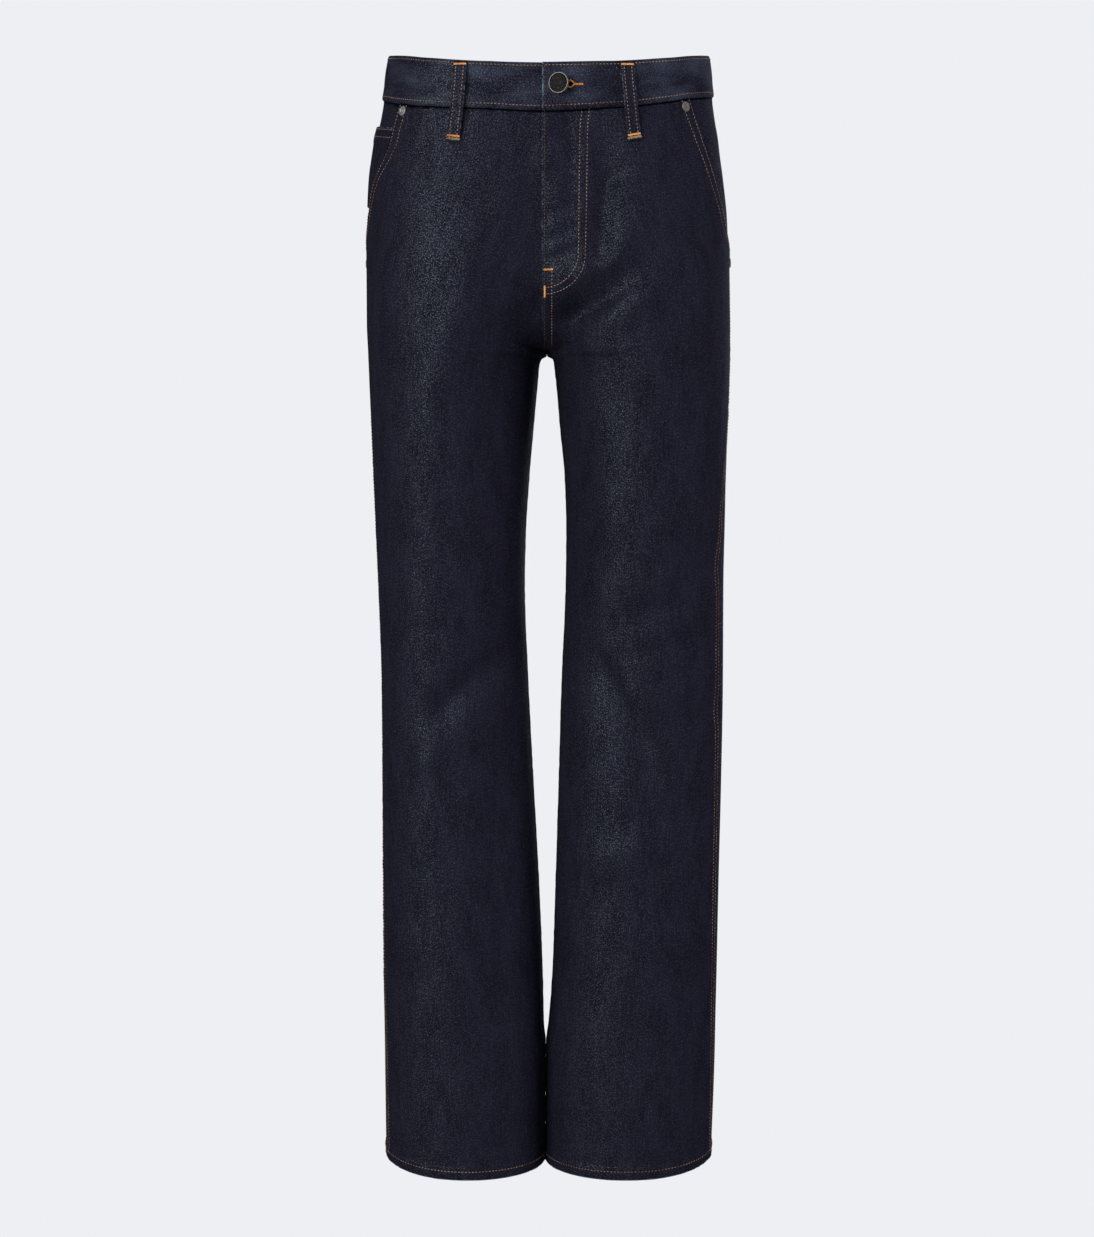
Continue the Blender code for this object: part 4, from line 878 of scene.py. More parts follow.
def add_piece(name, cloth, materials, grain):
    """A closed thin shell of cloth, with its own map in metres, how worn each point is, and how dark a shadow
    is painted at it in a seam.
    """
    rows, columns = cloth.outer.shape[:2]
    count = rows * columns
    points = np.concatenate([cloth.outer.reshape(-1, 3), cloth.inner.reshape(-1, 3)])
    index = np.arange(count).reshape(rows, columns)
    a, b = index[:-1, :-1].ravel(), index[:-1, 1:].ravel()
    c, d = index[1:, 1:].ravel(), index[1:, :-1].ravel()
    face = np.stack([a, b, c, d], 1)
    rim = np.concatenate([index[0, :-1], index[:-1, -1], index[-1, :0:-1], index[:0:-1, 0]])
    after = np.roll(rim, -1)
    sides = np.stack([rim, rim + count, after + count, after], 1)
    faces = np.concatenate([face, face[:, ::-1] + count, sides])
    corners = points[face[:, :3]]
    facing = np.cross(corners[:, 1] - corners[:, 0], corners[:, 2] - corners[:, 0])
    if (facing * cloth.normals.reshape(-1, 3)[face[:, 0]]).sum() < 0:
        faces = faces[:, ::-1]
    mesh = bpy.data.meshes.new(name)
    mesh.from_pydata(points.tolist(), [], faces.tolist())
    for finish in materials:
        mesh.materials.append(finish)
    inside = np.zeros(len(faces), np.int32)
    inside[len(face) : 2 * len(face)] = len(materials) - 1
    mesh.polygons.foreach_set("material_index", inside)
    middle = columns // 2
    u = cloth.across - cloth.across[:, middle : middle + 1]
    v = -cloth.down
    u, v = (v, u) if grain == "across" else (u, v)
    place = np.tile(np.stack([u.ravel(), v.ravel()], 1), (2, 1))
    loops = np.empty(len(mesh.loops), np.int32)
    mesh.loops.foreach_get("vertex_index", loops)
    layer = mesh.uv_layers.new(name="cloth")
    layer.uv.foreach_set("vector", place[loops].astype(np.float32).ravel())
    # The attribute holds the wear, and below zero the painted seam shadow.
    worn = mesh.attributes.new("wear", "FLOAT", "POINT")
    worn.data.foreach_set("value", np.tile(cloth.wear.ravel(), 2).astype(np.float32))
    mesh.shade_smooth()
    mesh.set_sharp_from_angle(angle=CLOTH_SHARP_FROM)
    return put(name, mesh)


CLOTH_SUFFIX = "_cloth"
CLOTH_SHARP_FROM = math.radians(50)

# The cloth of each piece made so far, by its node, for the sewing to follow.
CUT = {}


def hang(node, cloth, grain="down", doubled=False):
    """Makes the piece for a node: it stands for the node, whose part it hides, and rides on the garment."""
    finishes = denim_pair()
    piece = add_piece(node + CLOTH_SUFFIX, cloth, finishes[:1] if doubled else finishes, grain)
    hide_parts(node)
    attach(piece, BODY)
    width, length = float(cloth.across[:, -1].max()), float(cloth.down[-1].max())
    area = min(cloth.area(), width * length)
    CUT[node] = cloth
    return piece


# ---- Nodes -----------------------------------------------------------------------------------------


def linear(hex_colour):
    """The linear RGBA of an sRGB hex colour."""
    channels = [int(hex_colour[i : i + 2], 16) / 255 for i in (1, 3, 5)]
    return (*(c / 12.92 if c <= 0.04045 else ((c + 0.055) / 1.055) ** 2.4 for c in channels), 1.0)


def give(tree, node, inputs):
    """Sets or links a node's inputs. A node as a value stands for its first output in use."""
    for key, value in inputs.items():
        if isinstance(value, bpy.types.Node):
            value = next(output for output in value.outputs if output.enabled)
        if isinstance(value, bpy.types.NodeSocket):
            tree.links.new(value, node.inputs[key])
        else:
            node.inputs[key].default_value = value


def add(tree, kind, inputs=None, **settings):
    """One node with its settings, and with its inputs set or linked."""
    made = tree.nodes.new(kind)
    for name, value in settings.items():
        setattr(made, name, value)
    give(tree, made, inputs or {})
    return made


def new_material(name):
    """An empty material with its shader, and the tree to add nodes to."""
    made = bpy.data.materials.new(name)
    made.use_nodes = True
    tree = made.node_tree
    tree.nodes.clear()
    shader = add(tree, "ShaderNodeBsdfPrincipled")
    add(tree, "ShaderNodeOutputMaterial", {"Surface": shader})
    return made, tree, shader


def mottle(tree, place, *size_mm, detail=1.0):
    """A pattern of noise whose features are about this large along each direction, in millimetres."""
    scale = [1000 / size for size in size_mm] + [1.0] * (3 - len(size_mm))
    scaled = add(tree, "ShaderNodeMapping", {"Vector": place, "Scale": scale})
    return add(tree, "ShaderNodeTexNoise", {"Vector": scaled, "Scale": 1.0, "Detail": detail})


def weighed(tree, *shares):
    """The sum of some patterns, each times its share."""
    total = None
    for value, share in shares:
        part = add(tree, "ShaderNodeMath", {0: value, 1: share}, operation="MULTIPLY")
        total = part if total is None else add(tree, "ShaderNodeMath", {0: total, 1: part}, operation="ADD")
    return total


# A range that is eased in and out. A colour mix has its two colours at the inputs 6 and 7.
EASED = {"interpolation_type": "SMOOTHSTEP"}


def shaded(tree, pattern, low, high, dark, light):
    """A colour that turns from dark to light as a pattern rises from low to high."""
    share = add(tree, "ShaderNodeMapRange", {"Value": pattern, "From Min": low, "From Max": high}, **EASED)
    return add(tree, "ShaderNodeMix", {0: share, 6: dark, 7: light}, data_type="RGBA")


# ---- Finishes --------------------------------------------------------------------------------------

PAPER = "#EEEFF3"

# Bands on the diagonal repeat every 2 pi / (20 x scale x root 2) of their space.
TWILL_REPEAT = 0.0016
TWILL_SCALE = 2 * math.pi / (20 * math.sqrt(2) * TWILL_REPEAT)


def raw_denim(settings):
    """Unwashed warp-faced twill: a near-black violet indigo with a dull starched sheen.

    The flecks of its weave break up both the colour and the sheen.
    """
    made, tree, shader = new_material("raw_indigo_denim")
    place = add(tree, "ShaderNodeUVMap", uv_map="cloth")
    # The warp threads are 0.5 mm apart, and the crossings of the twill 0.8 mm. Both are drawn coarser.
    warp = mottle(tree, place, 1.1, 14.0)
    slub = mottle(tree, place, settings.slub_width * 1000, 30.0, detail=2.0)
    weft = mottle(tree, place, 9.0, 1.2)
    fleck = mottle(tree, place, 1.3, 1.5, detail=2.0)
    cloud = mottle(tree, place, 18.0, 55.0, detail=3.0)
    yarn = weighed(tree, (slub, 0.5), (warp, 0.5))
    cross = weighed(tree, (yarn, 0.65), (weft, 0.35))
    weave = weighed(tree, (fleck, 0.58), (cross, 0.42))
    flecks = add(tree, "ShaderNodeMapRange", {"Value": weave, "From Min": 0.488, "From Max": 0.600}, **EASED)
    dyed = shaded(tree, cloud, 0.3, 0.7, tuple(settings.deep), tuple(settings.ink))
    cloth = add(tree, "ShaderNodeMix", {0: flecks, 6: dyed, 7: tuple(settings.fleck)}, data_type="RGBA")

    # Where the dye is rubbed off, and a painted shadow where the cloth lies in a seam and gets no light.
    wear = add(tree, "ShaderNodeAttribute", attribute_name="wear").outputs["Fac"]
    patchy = weighed(tree, (cloud, 1.2), (fleck, 0.7))
    rubbed = add(tree, "ShaderNodeMath", {0: wear, 1: patchy}, operation="MULTIPLY")
    worn = shaded(tree, rubbed, 0.15, 1.0, cloth, tuple(settings.worn))
    clear_of_painted_seam_shade = add(tree, "ShaderNodeMapRange", {"Value": wear, "From Min": -1.0, "From Max": 0.0}, **EASED)
    # The painted seam shadow is a near-black colour.
    colour = add(tree, "ShaderNodeMix", {0: clear_of_painted_seam_shade, 6: linear("#050508"), 7: worn}, data_type="RGBA")

    # The starch shines on the flecks, in clouds, and glints on single threads.
    clouds = add(tree, "ShaderNodeMapRange", {"Value": cloud, "From Min": 0.3, "From Max": 0.7}, **EASED)
    uneven = add(tree, "ShaderNodeMath", {0: clouds, 1: 0.5, 2: 0.45}, operation="MULTIPLY_ADD")
    bare = add(tree, "ShaderNodeMath", {0: flecks, 1: 0.05}, operation="ADD")
    broken = add(tree, "ShaderNodeMath", {0: bare, 1: uneven}, operation="MULTIPLY")
    single = mottle(tree, place, 1.1, 1.2, detail=0.0)
    glint = add(tree, "ShaderNodeMapRange", {"Value": single, "From Min": 0.66, "From Max": 0.76}, **EASED)
    starch = weighed(tree, (broken, 1.0), (glint, 2.6))
    # No gloss where the seam shadow is painted.
    lit = add(tree, "ShaderNodeMath", {0: starch, 1: clear_of_painted_seam_shade}, operation="MULTIPLY")

    twill = add(
        tree,
        "ShaderNodeTexWave",
        {"Vector": place, "Scale": TWILL_SCALE, "Distortion": 1.2, "Detail": 1.0, "Detail Scale": 40.0},
        wave_type="BANDS",
        bands_direction="DIAGONAL",
    ).outputs["Fac"]
    height = weighed(tree, (weave, 1.0), (twill, 0.12))
    give(tree, shader, {
        "Base Color": colour,
        "Roughness": 0.50,
        "Specular IOR Level": weighed(tree, (lit, settings.sheen)),
        "Specular Tint": linear("#DCF4FF"),
        # Short cotton hairs catch the light where the cloth turns away.
        "Sheen Weight": 0.045,
        "Sheen Roughness": 0.35,
        "Sheen Tint": linear("#C4C8E2"),
        "Normal": add(tree, "ShaderNodeBump", {"Height": height, "Strength": 1.0, "Distance": 0.0005}),
    })
    return made


def denim_wrong_side():
    """The inside of the same twill, where the undyed weft lies on top: a pale, hairy grey-blue."""
    made, tree, shader = new_material("denim_wrong_side")
    place = add(tree, "ShaderNodeUVMap", uv_map="cloth")
    weft = mottle(tree, place, 13.0, 1.5)
    hair = mottle(tree, place, 1.2, 1.6, detail=2.0)
    mixed = weighed(tree, (weft, 0.5), (hair, 0.5))
    give(tree, shader, {
        "Base Color": shaded(tree, mixed, 0.36, 0.64, linear("#4A5468"), linear("#9AA3AE")),
        "Roughness": 0.95,
        "Sheen Weight": 0.15,
        "Normal": add(tree, "ShaderNodeBump", {"Height": mixed, "Strength": 0.5, "Distance": 0.0004}),
    })
    return made


def thread_finish(name, light, dark, roughness):
    """Thread with a painted highlight on top of its turns and painted shade between them, and uneven along
    its way.
    """
    made, tree, shader = new_material(name)
    place = add(tree, "ShaderNodeTexCoord").outputs["Object"]
    turns, along = mottle(tree, place, 1.3, 1.3, 1.3), mottle(tree, place, 30.0, 30.0, 30.0)
    share = weighed(tree, (turns, 0.5), (along, 0.5))
    give(tree, shader, {
        # The base colour carries the painted highlight on the turns and the painted shade between them.
        "Base Color": shaded(tree, share, 0.38, 0.62, dark, light),
        "Roughness": roughness,
        "Specular IOR Level": 0.3,
    })
    return made


def core_spun_thread(settings):
    """Core-spun polyester topstitching thread: a matt tan orange, with painted shade between its turns."""
    return thread_finish("core_spun_thread", tuple(settings.light), tuple(settings.dark), 0.65)


def painted_shade_thread():
    """The same thread where it lies in a fold, painted a dull, darker brown: painted shade."""
    return thread_finish("indigo_stained_thread", linear("#5C463A"), linear("#382822"), 0.75)


def ecru_ends():
    """The frayed undyed ends of the loops' weft: a pale, dusty tan."""
    return thread_finish("frayed_ecru_weft", linear("#A89274"), linear("#5C4E44"), 0.85)


def bartack_thread():
    """The same thread in dense bars, painted a brighter, yellower orange: a painted highlight where its turns
    catch more light.
    """
    return thread_finish("bartack_thread", linear("#EBA45C"), linear("#B56F32"), 0.5)


def nickel_plate():
    """Nickel on brass, tumbled dull: a warm grey metal with soft, slightly uneven reflections."""
    made, tree, shader = new_material("tumbled_nickel_plate")
    place = add(tree, "ShaderNodeTexCoord").outputs["Object"]
    tumbled = mottle(tree, place, 1.1, 1.3, 1.2, detail=3.0)
    give(tree, shader, {
        "Base Color": shaded(tree, tumbled, 0.35, 0.65, linear("#6E6C69"), linear("#96938E")),
        "Metallic": 0.55,
        "Roughness": add(tree, "ShaderNodeMath", {0: tumbled, 1: 0.35, 2: 0.34}, operation="MULTIPLY_ADD"),
        "Normal": add(tree, "ShaderNodeBump", {"Height": tumbled, "Strength": 0.15, "Distance": 0.0001}),
    })
    return made


def gunmetal_plate():
    """Blackened nickel in the button's sunk face: dark, with pale mottling where the blacking is thin."""
    made, tree, shader = new_material("blackened_nickel")
    place = add(tree, "ShaderNodeTexCoord").outputs["Object"]
    mottled = mottle(tree, place, 1.6, 1.4, 1.2, detail=4.0)
    give(tree, shader, {
        "Base Color": shaded(tree, mottled, 0.42, 0.70, linear("#141314"), linear("#35322F")),
        "Metallic": 0.15,
        "Roughness": 0.75,
        "Specular IOR Level": 0.1,
        "Normal": add(tree, "ShaderNodeBump", {"Height": mottled, "Strength": 0.4, "Distance": 0.0002}),
    })
    return made


def backdrop_paper():
    """A roll of pale paper, lit evenly enough to show no shade of its own, so it gives off its colour."""
    made, tree, shader = new_material("backdrop_paper")
    give(tree, shader, {
        "Base Color": linear("#000000"),
        "Specular IOR Level": 0.0,
        "Roughness": 1.0,
        "Emission Color": linear(PAPER),
        "Emission Strength": 1.0,
    })
    return made


def finish_of(name, make, *values):
    """The material of this name, made the first time it is asked for."""
    return bpy.data.materials.get(name) or make(*values)


def denim_pair():
    settings = bpy.context.scene.jeans_denim
    return [
        finish_of("raw_indigo_denim", raw_denim, settings),
        finish_of("denim_wrong_side", denim_wrong_side),
    ]


# ---- The cloth pieces ------------------------------------------------------------------------------

# How many steps of a piece's rows and columns make one of the solid's, by how long those are.
ROWS_PER_STEP = 5
COLUMNS_PER_STEP = 5
YOKE_ROWS_PER_STEP = 6
FACING_COLUMNS_PER_STEP = 4
COIN_COLUMNS_PER_STEP = 6
BAND_COLUMNS_PER_STEP = 4
LAP_PLACES = np.array([0.0, 0.10, 0.30, 0.60])

# Its strongly negative value paints the shadow under the waistband's foot near black along the waist seam.
WAIST_SEAM_EDGE = Edge("top", 0.0000, 0.004, 0.00030, 0.013, -18.0, 0.0009)
HEM_EDGE = Edge("foot", 0.0007, 0.011, 0.00045, 0.012, 0.55)
PATCH_HEM_EDGE = Edge("top", 0.0006, 0.014, 0.00020, 0.012, 0.45)
FRONT_EDGES = [
    Edge("left", 0.0004, 0.008, 0.00012, 0.011, 0.30),
    Edge("right", 0.0006, 0.009, 0.00030, 0.012, 0.40),
    WAIST_SEAM_EDGE,
    HEM_EDGE,
]
BACK_EDGES = [
    Edge("left", 0.0000, 0.004, 0.00025, 0.012, 0.15),
    Edge("right", 0.0005, 0.009, 0.00025, 0.012, 0.25),
    Edge("top", 0.0000, 0.004, 0.00030, 0.013, 0.00),
    HEM_EDGE,
]
YOKE_EDGES = [
    Edge("right", 0.0005, 0.009, 0.00020, 0.012, 0.25),
    Edge("left", 0.0000, 0.004, 0.00020, 0.012, 0.15),
    Edge("foot", 0.0006, 0.009, 0.00030, 0.012, 0.35),
    # The yoke's top gets the same painted shadow under the waistband.
    Edge("top", 0.0000, 0.004, 0.00020, 0.012, -18.0, 0.0009),
]
PATCH_EDGES = [Edge(name, 0.0004, 0.008, 0.00025, 0.012, 0.40) for name in ("left", "right", "foot")]
PATCH_EDGES.append(PATCH_HEM_EDGE)
BAND_EDGES = [
    Edge("left", 0.0003, 0.006, 0.00010, 0.010, 0.50),
    Edge("top", 0.0002, 0.006, 0.00018, 0.011, 0.30),
    Edge("foot", 0.0005, 0.007, 0.00025, 0.012, 0.25, 0.0013),
]
LOOP_EDGES = [
    Edge("left", 0.0000, 0.002, 0.00006, 0.006, 0.32),
    Edge("right", 0.0000, 0.002, 0.00006, 0.006, 0.32),
]


def cut(side, grids, rows, columns, edges, lift=0.0, wall=CLOTH):
    """A piece on the surface, from its grids of turns and heights, read at these rows and columns."""
    turns, heights = (finer(grid, rows, columns) for grid in grids)
    base, normals = surface(side, turns, heights)
    return Cloth(base, normals, lift, wall, edges)


def cut_front(side):
    rows, turns, heights = front_grid(side)
    down = places(len(rows) - 1, ROWS_PER_STEP)
    across = places(FRONT_COLUMNS - 1, COLUMNS_PER_STEP, first=LAP_PLACES)
    lift = fly_lift(side, finer(turns, down, across), finer(heights, down, across))
    return cut(side, (turns, heights), down, across, FRONT_EDGES, lift, wall_at(rows, down))


def back_grid(side):
    """Turns and heights of the back panel's points, row by row."""
    rows = panel_rows()
    turns = np.zeros((len(rows), BACK_COLUMNS))
    heights = np.zeros_like(turns)
    for i, row in enumerate(rows):
        turn = np.linspace(2, 4, BACK_COLUMNS)
        for _ in range(LAYINGS):
            top = yoke_seam(side, turn)
            height = row_height(row, turn, top) - (SEAM_GAP if i == 0 else 0)
            start = beside_seam(side, height[0], BACK)
            below = height[-1] < CROTCH_Z + TINY
            end = 4 - (seam_step(side, 4 - INSEAM_TURN, height[-1]) if below else -SEAM_CLOSED)
            turn = start + (end - start) * np.linspace(0, 1, BACK_COLUMNS)
        turns[i], heights[i] = turn, height
    return rows, turns, heights


def cut_back(side):
    rows, turns, heights = back_grid(side)
    down = places(len(rows) - 1, ROWS_PER_STEP)
    across = places(BACK_COLUMNS - 1, COLUMNS_PER_STEP)
    return cut(side, (turns, heights), down, across, BACK_EDGES, wall=wall_at(rows, down))


def cut_yoke(side):
    turns = np.zeros((YOKE_ROWS, BACK_COLUMNS))
    heights = np.zeros_like(turns)
    for i, share in enumerate(np.linspace(0, 1, YOKE_ROWS)):
        turn = np.linspace(2, 4, BACK_COLUMNS)
        for _ in range(LAYINGS):
            top, foot = waist_seam(turn) - seam_drop(side, turn) + SEAM_TUCK, yoke_seam(side, turn)
            height = top + (foot - top) * share
            start = beside_seam(side, height[0], BACK)
            turn = start + (4 - start) * np.linspace(0, 1, BACK_COLUMNS)
        turns[i], heights[i] = turn, height
    down = places(YOKE_ROWS - 1, YOKE_ROWS_PER_STEP)
    across = places(BACK_COLUMNS - 1, COLUMNS_PER_STEP)
    return cut(side, (turns, heights), down, across, YOKE_EDGES)


def cut_facing(side):
    turns, heights, sink = facing_grid(side)
    down = places(len(turns) - 1, ROWS_PER_STEP)
    across = places(turns.shape[1] - 1, FACING_COLUMNS_PER_STEP)
    return cut(side, (turns, heights), down, across, [WAIST_SEAM_EDGE], -finer(sink, down, across))


def cut_coin_pocket(side):
    """A small patch on the facing, from the mouth of the pocket to the side seam."""
    turns, heights, sink = facing_grid(side)
    rows = slice(COIN_TOP_ROW, COIN_FOOT_ROW + 1)
    turns, heights, sink = (grid[rows, POCKET_UNDERLAP:] for grid in (turns, heights, sink))
    down = np.linspace(COIN_DOWN_AT_MOUTH, COIN_DOWN_AT_SEAM, turns.shape[1])
    for grid in (turns, heights, sink):
        grid[0] += (grid[1] - grid[0]) * down
        first, last = grid[:, 0].copy(), grid[:, -1].copy()
        grid[:, 0] += (grid[:, 1] - first) * COIN_INSET
        grid[:, -1] += (grid[:, -2] - last) * COIN_INSET
    down = places(turns.shape[0] - 1, ROWS_PER_STEP)
    across = places(turns.shape[1] - 1, COIN_COLUMNS_PER_STEP)
    lift = SEAM_GAP + CLOTH - finer(sink, down, across)
    return cut(side, (turns, heights), down, across, [PATCH_HEM_EDGE], lift)


def cut_back_pocket(side):
    """A five-sided patch on the back panel, along that panel's own rows and columns."""
    _, turns, heights = back_grid(side)
    middle = (PATCH_OUTER_COLUMN + PATCH_INNER_COLUMN) / 2
    half, whole = PATCH_INNER_COLUMN - middle, PATCH_FOOT_ROW - PATCH_TOP_ROW
    down = places(whole + 1, ROWS_PER_STEP)[:, None] / (whole + 1)
    across = places(PATCH_INNER_COLUMN - PATCH_OUTER_COLUMN, COLUMNS_PER_STEP) - half
    narrowed = half - PATCH_TAPER * down
    columns = middle + across * narrowed / half
    point = PATCH_POINT * (1 - abs(columns - middle) / narrowed) + PATCH_SQUARE
    rows = PATCH_TOP_ROW + down * whole + point * smooth((down - 0.5) / 0.5) * down
    base, normals = surface(side, between(turns, rows, columns), between(heights, rows, columns))
    return Cloth(base, normals, PATCH_GAP + CLOTH, CLOTH, PATCH_EDGES)


def between(grid, rows, columns):
    """The values of a grid at rows and columns that need not be whole."""
    i = np.clip(rows.astype(int), 0, grid.shape[0] - 2)
    j = np.clip(columns.astype(int), 0, grid.shape[1] - 2)
    down, across = rows - i, columns - j
    upper = grid[i, j] * (1 - across) + grid[i, j + 1] * across
    lower = grid[i + 1, j] * (1 - across) + grid[i + 1, j + 1] * across
    return upper * (1 - down) + lower * down


def band_lift(x):
    """How far the upper end of the waistband stands out over the lower end."""
    return BAND_LAP_LIFT * (1 - smooth((x - BAND_UNDER_X - BAND_LAP_CLEAR) / BAND_LAP_FADE))


def top_edge_turns(side):
    """The turns of the panels' points along the waist seam, so that the waistband follows them."""
    front = front_grid(side)[1][0, 1:]
    facing = facing_grid(side)[0][0, POCKET_UNDERLAP + 1 :]
    back = np.linspace(facing[-1], 4, BACK_COLUMNS)[1:]
    return np.concatenate([front, facing, back])


def cut_waistband():
    """One strip from the upper end at the fly, round by the left side and the back, to the lower end."""
    start = BAND_LAP_X / TURN_BEFORE_CENTRE
    finish = -BAND_UNDER_X / TURN_BEFORE_CENTRE
    left, right = top_edge_turns(LEFT), top_edge_turns(RIGHT)[-2::-1]
    course = np.concatenate([[start], left, 8 - right, 8 - np.linspace(0, finish, BAND_UNDER_COLUMNS)])
    across = places(len(course) - 1, BAND_COLUMNS_PER_STEP)
    course = np.interp(across, np.arange(len(course)), course)
    side = np.where(course <= 4, LEFT, RIGHT)
    turn = np.where(course <= 4, course, 8 - course)
    share = places(BAND_ROWS - 1, 1) / (BAND_ROWS - 1)
    deep = BAND_HEIGHT(mirrored(turn)) + np.where(side == RIGHT, SEAM_DROP(turn), 0)
    height = WAIST_TOP(mirrored(turn)) - deep * share[:, None]
    turn, side = turn * np.ones_like(height), side * np.ones_like(height)
    base, normals = surface(side, turn, height)
    lapped = (side == LEFT) & (turn < 2)
    raise_by = np.where(lapped, band_lift(base[..., 0]), 0)
    # Past the lower end, the upper one is padded down to the panels that it is sewn to.
    padded = raise_by * smooth((base[..., 0] - BAND_UNDER_X) / BAND_PAD_FADE)
    return Cloth(base, normals, BAND_PROUD + raise_by, BAND_WALL + padded, BAND_EDGES, BAND_RUBBED)


LOOP_POINTS = 44
LOOP_CROWN = 0.0005
LOOP_ARCH = 0.8
LOOP_COLUMNS, LOOP_COLUMNS_PER_STEP = 4, 2

# The share of its length at which a loop leaves the waistband, and over which it comes down to the panel.
LOOP_LEAVES_BAND, LOOP_COMES_DOWN = 0.72, 0.2


def cut_loop(loop):
    """A belt loop: a strip that stands off the waistband, and is sewn down at both its ends."""
    down = np.linspace(0, 1, LOOP_POINTS)
    turn = loop.top_turn + (loop.foot_turn - loop.top_turn) * down
    top = float(WAIST_TOP(loop.top_turn)) - LOOP_BELOW_EDGE
    z = top + (loop.foot_z - top) * down
    on_band = BAND_PROUD * (1 - smooth((down - LOOP_LEAVES_BAND) / LOOP_COMES_DOWN))
    height = on_band + LOOP_SEAT + LOOP_RISE * np.sin(math.pi * down) ** LOOP_ARCH + LOOP_WALL
    middle = raised(loop.side, turn, z, height)
    out = outward(loop.side, turn, z)
    run = np.gradient(middle, axis=0)
    across = np.cross(out, run)
    across /= np.linalg.norm(across, axis=1, keepdims=True)
    share = places(LOOP_COLUMNS, LOOP_COLUMNS_PER_STEP) / LOOP_COLUMNS - 0.5
    base = middle[:, None] + across[:, None] * (share * LOOP_WIDTH)[None, :, None]
    crown = LOOP_CROWN * np.cos(share * math.pi) ** 0.5 * np.ones((LOOP_POINTS, 1))
    normals = out[:, None] * np.ones((1, len(share), 1))
    return Cloth(base, normals, crown - LOOP_CROWN, LOOP_WALL - LOOP_CROWN, LOOP_EDGES)


# ---- The button and its hole -----------------------------------------------------------------------


def button_frame(height):
    """A point at this height over the waistband where the button sits, with its axes: across, up, out."""
    turn = turn_at_x(LEFT, BUTTON_X, BUTTON_Z)
    out = Vector(outward(LEFT, turn, BUTTON_Z))
    place = Vector(outside(LEFT, turn, BUTTON_Z)) + out * height
    across = Vector((0, 0, 1)).cross(out).normalized()
    return place, across, out.cross(across), out


EYE_SIDES = 20

# The slot swells a little before its end, where it runs to a point.
HOLE_SWELL = 0.0027
HOLE_SWELL_X = 0.0106
HOLE_SWELL_RUN = 0.004
HOLE_POINT = 0.0002
HOLE_END_MARGIN = 0.4


def keyhole(margin=0.0):
    """The outline of the buttonhole, as distances across and up from the eye: the eye, then the slot."""
    r, half, swell = EYE_R + margin, HOLE_WIDTH / 2 + margin, HOLE_SWELL + margin
    opening = math.asin(half / r)
    outline = []
    for i in range(EYE_SIDES + 1):
        angle = opening + (2 * math.pi - 2 * opening) * i / EYE_SIDES
        outline.append((r * math.cos(angle), r * math.sin(angle)))
    slot = [(HOLE_SWELL_X - HOLE_SWELL_RUN, half), (HOLE_SWELL_X, swell)]
    slot.append((HOLE_LENGTH + margin * HOLE_END_MARGIN, HOLE_POINT))
    return outline + [(x, -y) for x, y in slot] + slot[::-1]


def open_buttonhole(band):
    """Cuts the keyhole through the upper end of the waistband alone."""
    near, across, up, _ = button_frame(BAND_PROUD + BAND_LAP_LIFT + BAND_WALL)
    far = button_frame(BAND_PROUD + BAND_LAP_LIFT - BAND_WALL - BAND_LAP_GAP / 2)[0]
    outline = keyhole()
    count = len(outline)
    points = [end + across * a + up * b for end in (near, far) for a, b in outline]
    faces = [list(range(count)), list(range(2 * count - 1, count - 1, -1))]
    faces += [(i, i + count, (i + 1) % count + count, (i + 1) % count) for i in range(count)]
    mesh = bpy.data.meshes.new("buttonhole_cutter")
    mesh.from_pydata(points, [], faces)
    work = bmesh.new()
    work.from_mesh(mesh)
    bmesh.ops.recalc_face_normals(work, faces=work.faces)
    work.to_mesh(mesh)
    work.free()
    cutter = put("buttonhole_cutter", mesh)
    hole = band.modifiers.new("buttonhole", "BOOLEAN")
    hole.operation = "DIFFERENCE"
    hole.object = cutter
    settle(band)
    bpy.data.objects.remove(cutter, do_unlink=True)


def settle(piece):
    """Makes what a piece's modifiers show its own plain mesh, and removes them."""
    graph = bpy.context.evaluated_depsgraph_get()
    mesh = bpy.data.meshes.new_from_object(piece.evaluated_get(graph))
    piece.modifiers.clear()
    piece.data = mesh


def turned_solid(name, profile, sides, finishes):
    """A closed turned solid from rings of (centre, axis, radius, finish index), along its axis."""
    work = bmesh.new()
    rings = []
    for centre, axis, radius, _ in profile:
        across = axis.orthogonal().normalized()
        beside = axis.cross(across)
        ring = []
        for i in range(sides):
            angle = 2 * math.pi * i / sides
            away = across * math.cos(angle) + beside * math.sin(angle)
            ring.append(work.verts.new(centre + away * radius))
        rings.append(ring)
    for ring, after, (_, _, _, finish) in zip(rings, rings[1:], profile):
        for i in range(sides):
            j = (i + 1) % sides
            work.faces.new((ring[i], ring[j], after[j], after[i])).material_index = finish
    for ring, place in ((rings[0], profile[0]), (rings[-1], profile[-1])):
        middle = work.verts.new(place[0])
        for i in range(sides):
            work.faces.new((ring[i], ring[(i + 1) % sides], middle)).material_index = place[3]
    bmesh.ops.recalc_face_normals(work, faces=work.faces)
    mesh = bpy.data.meshes.new(name)
    work.to_mesh(mesh)
    work.free()
    for finish in finishes:
        mesh.materials.append(finish)
    mesh.shade_smooth()
    mesh.set_sharp_from_angle(angle=METAL_SHARP_FROM)
    return mesh


METAL_SHARP_FROM = math.radians(45)
BUTTON_SIDES = 64
RIVET_SIDES = 40

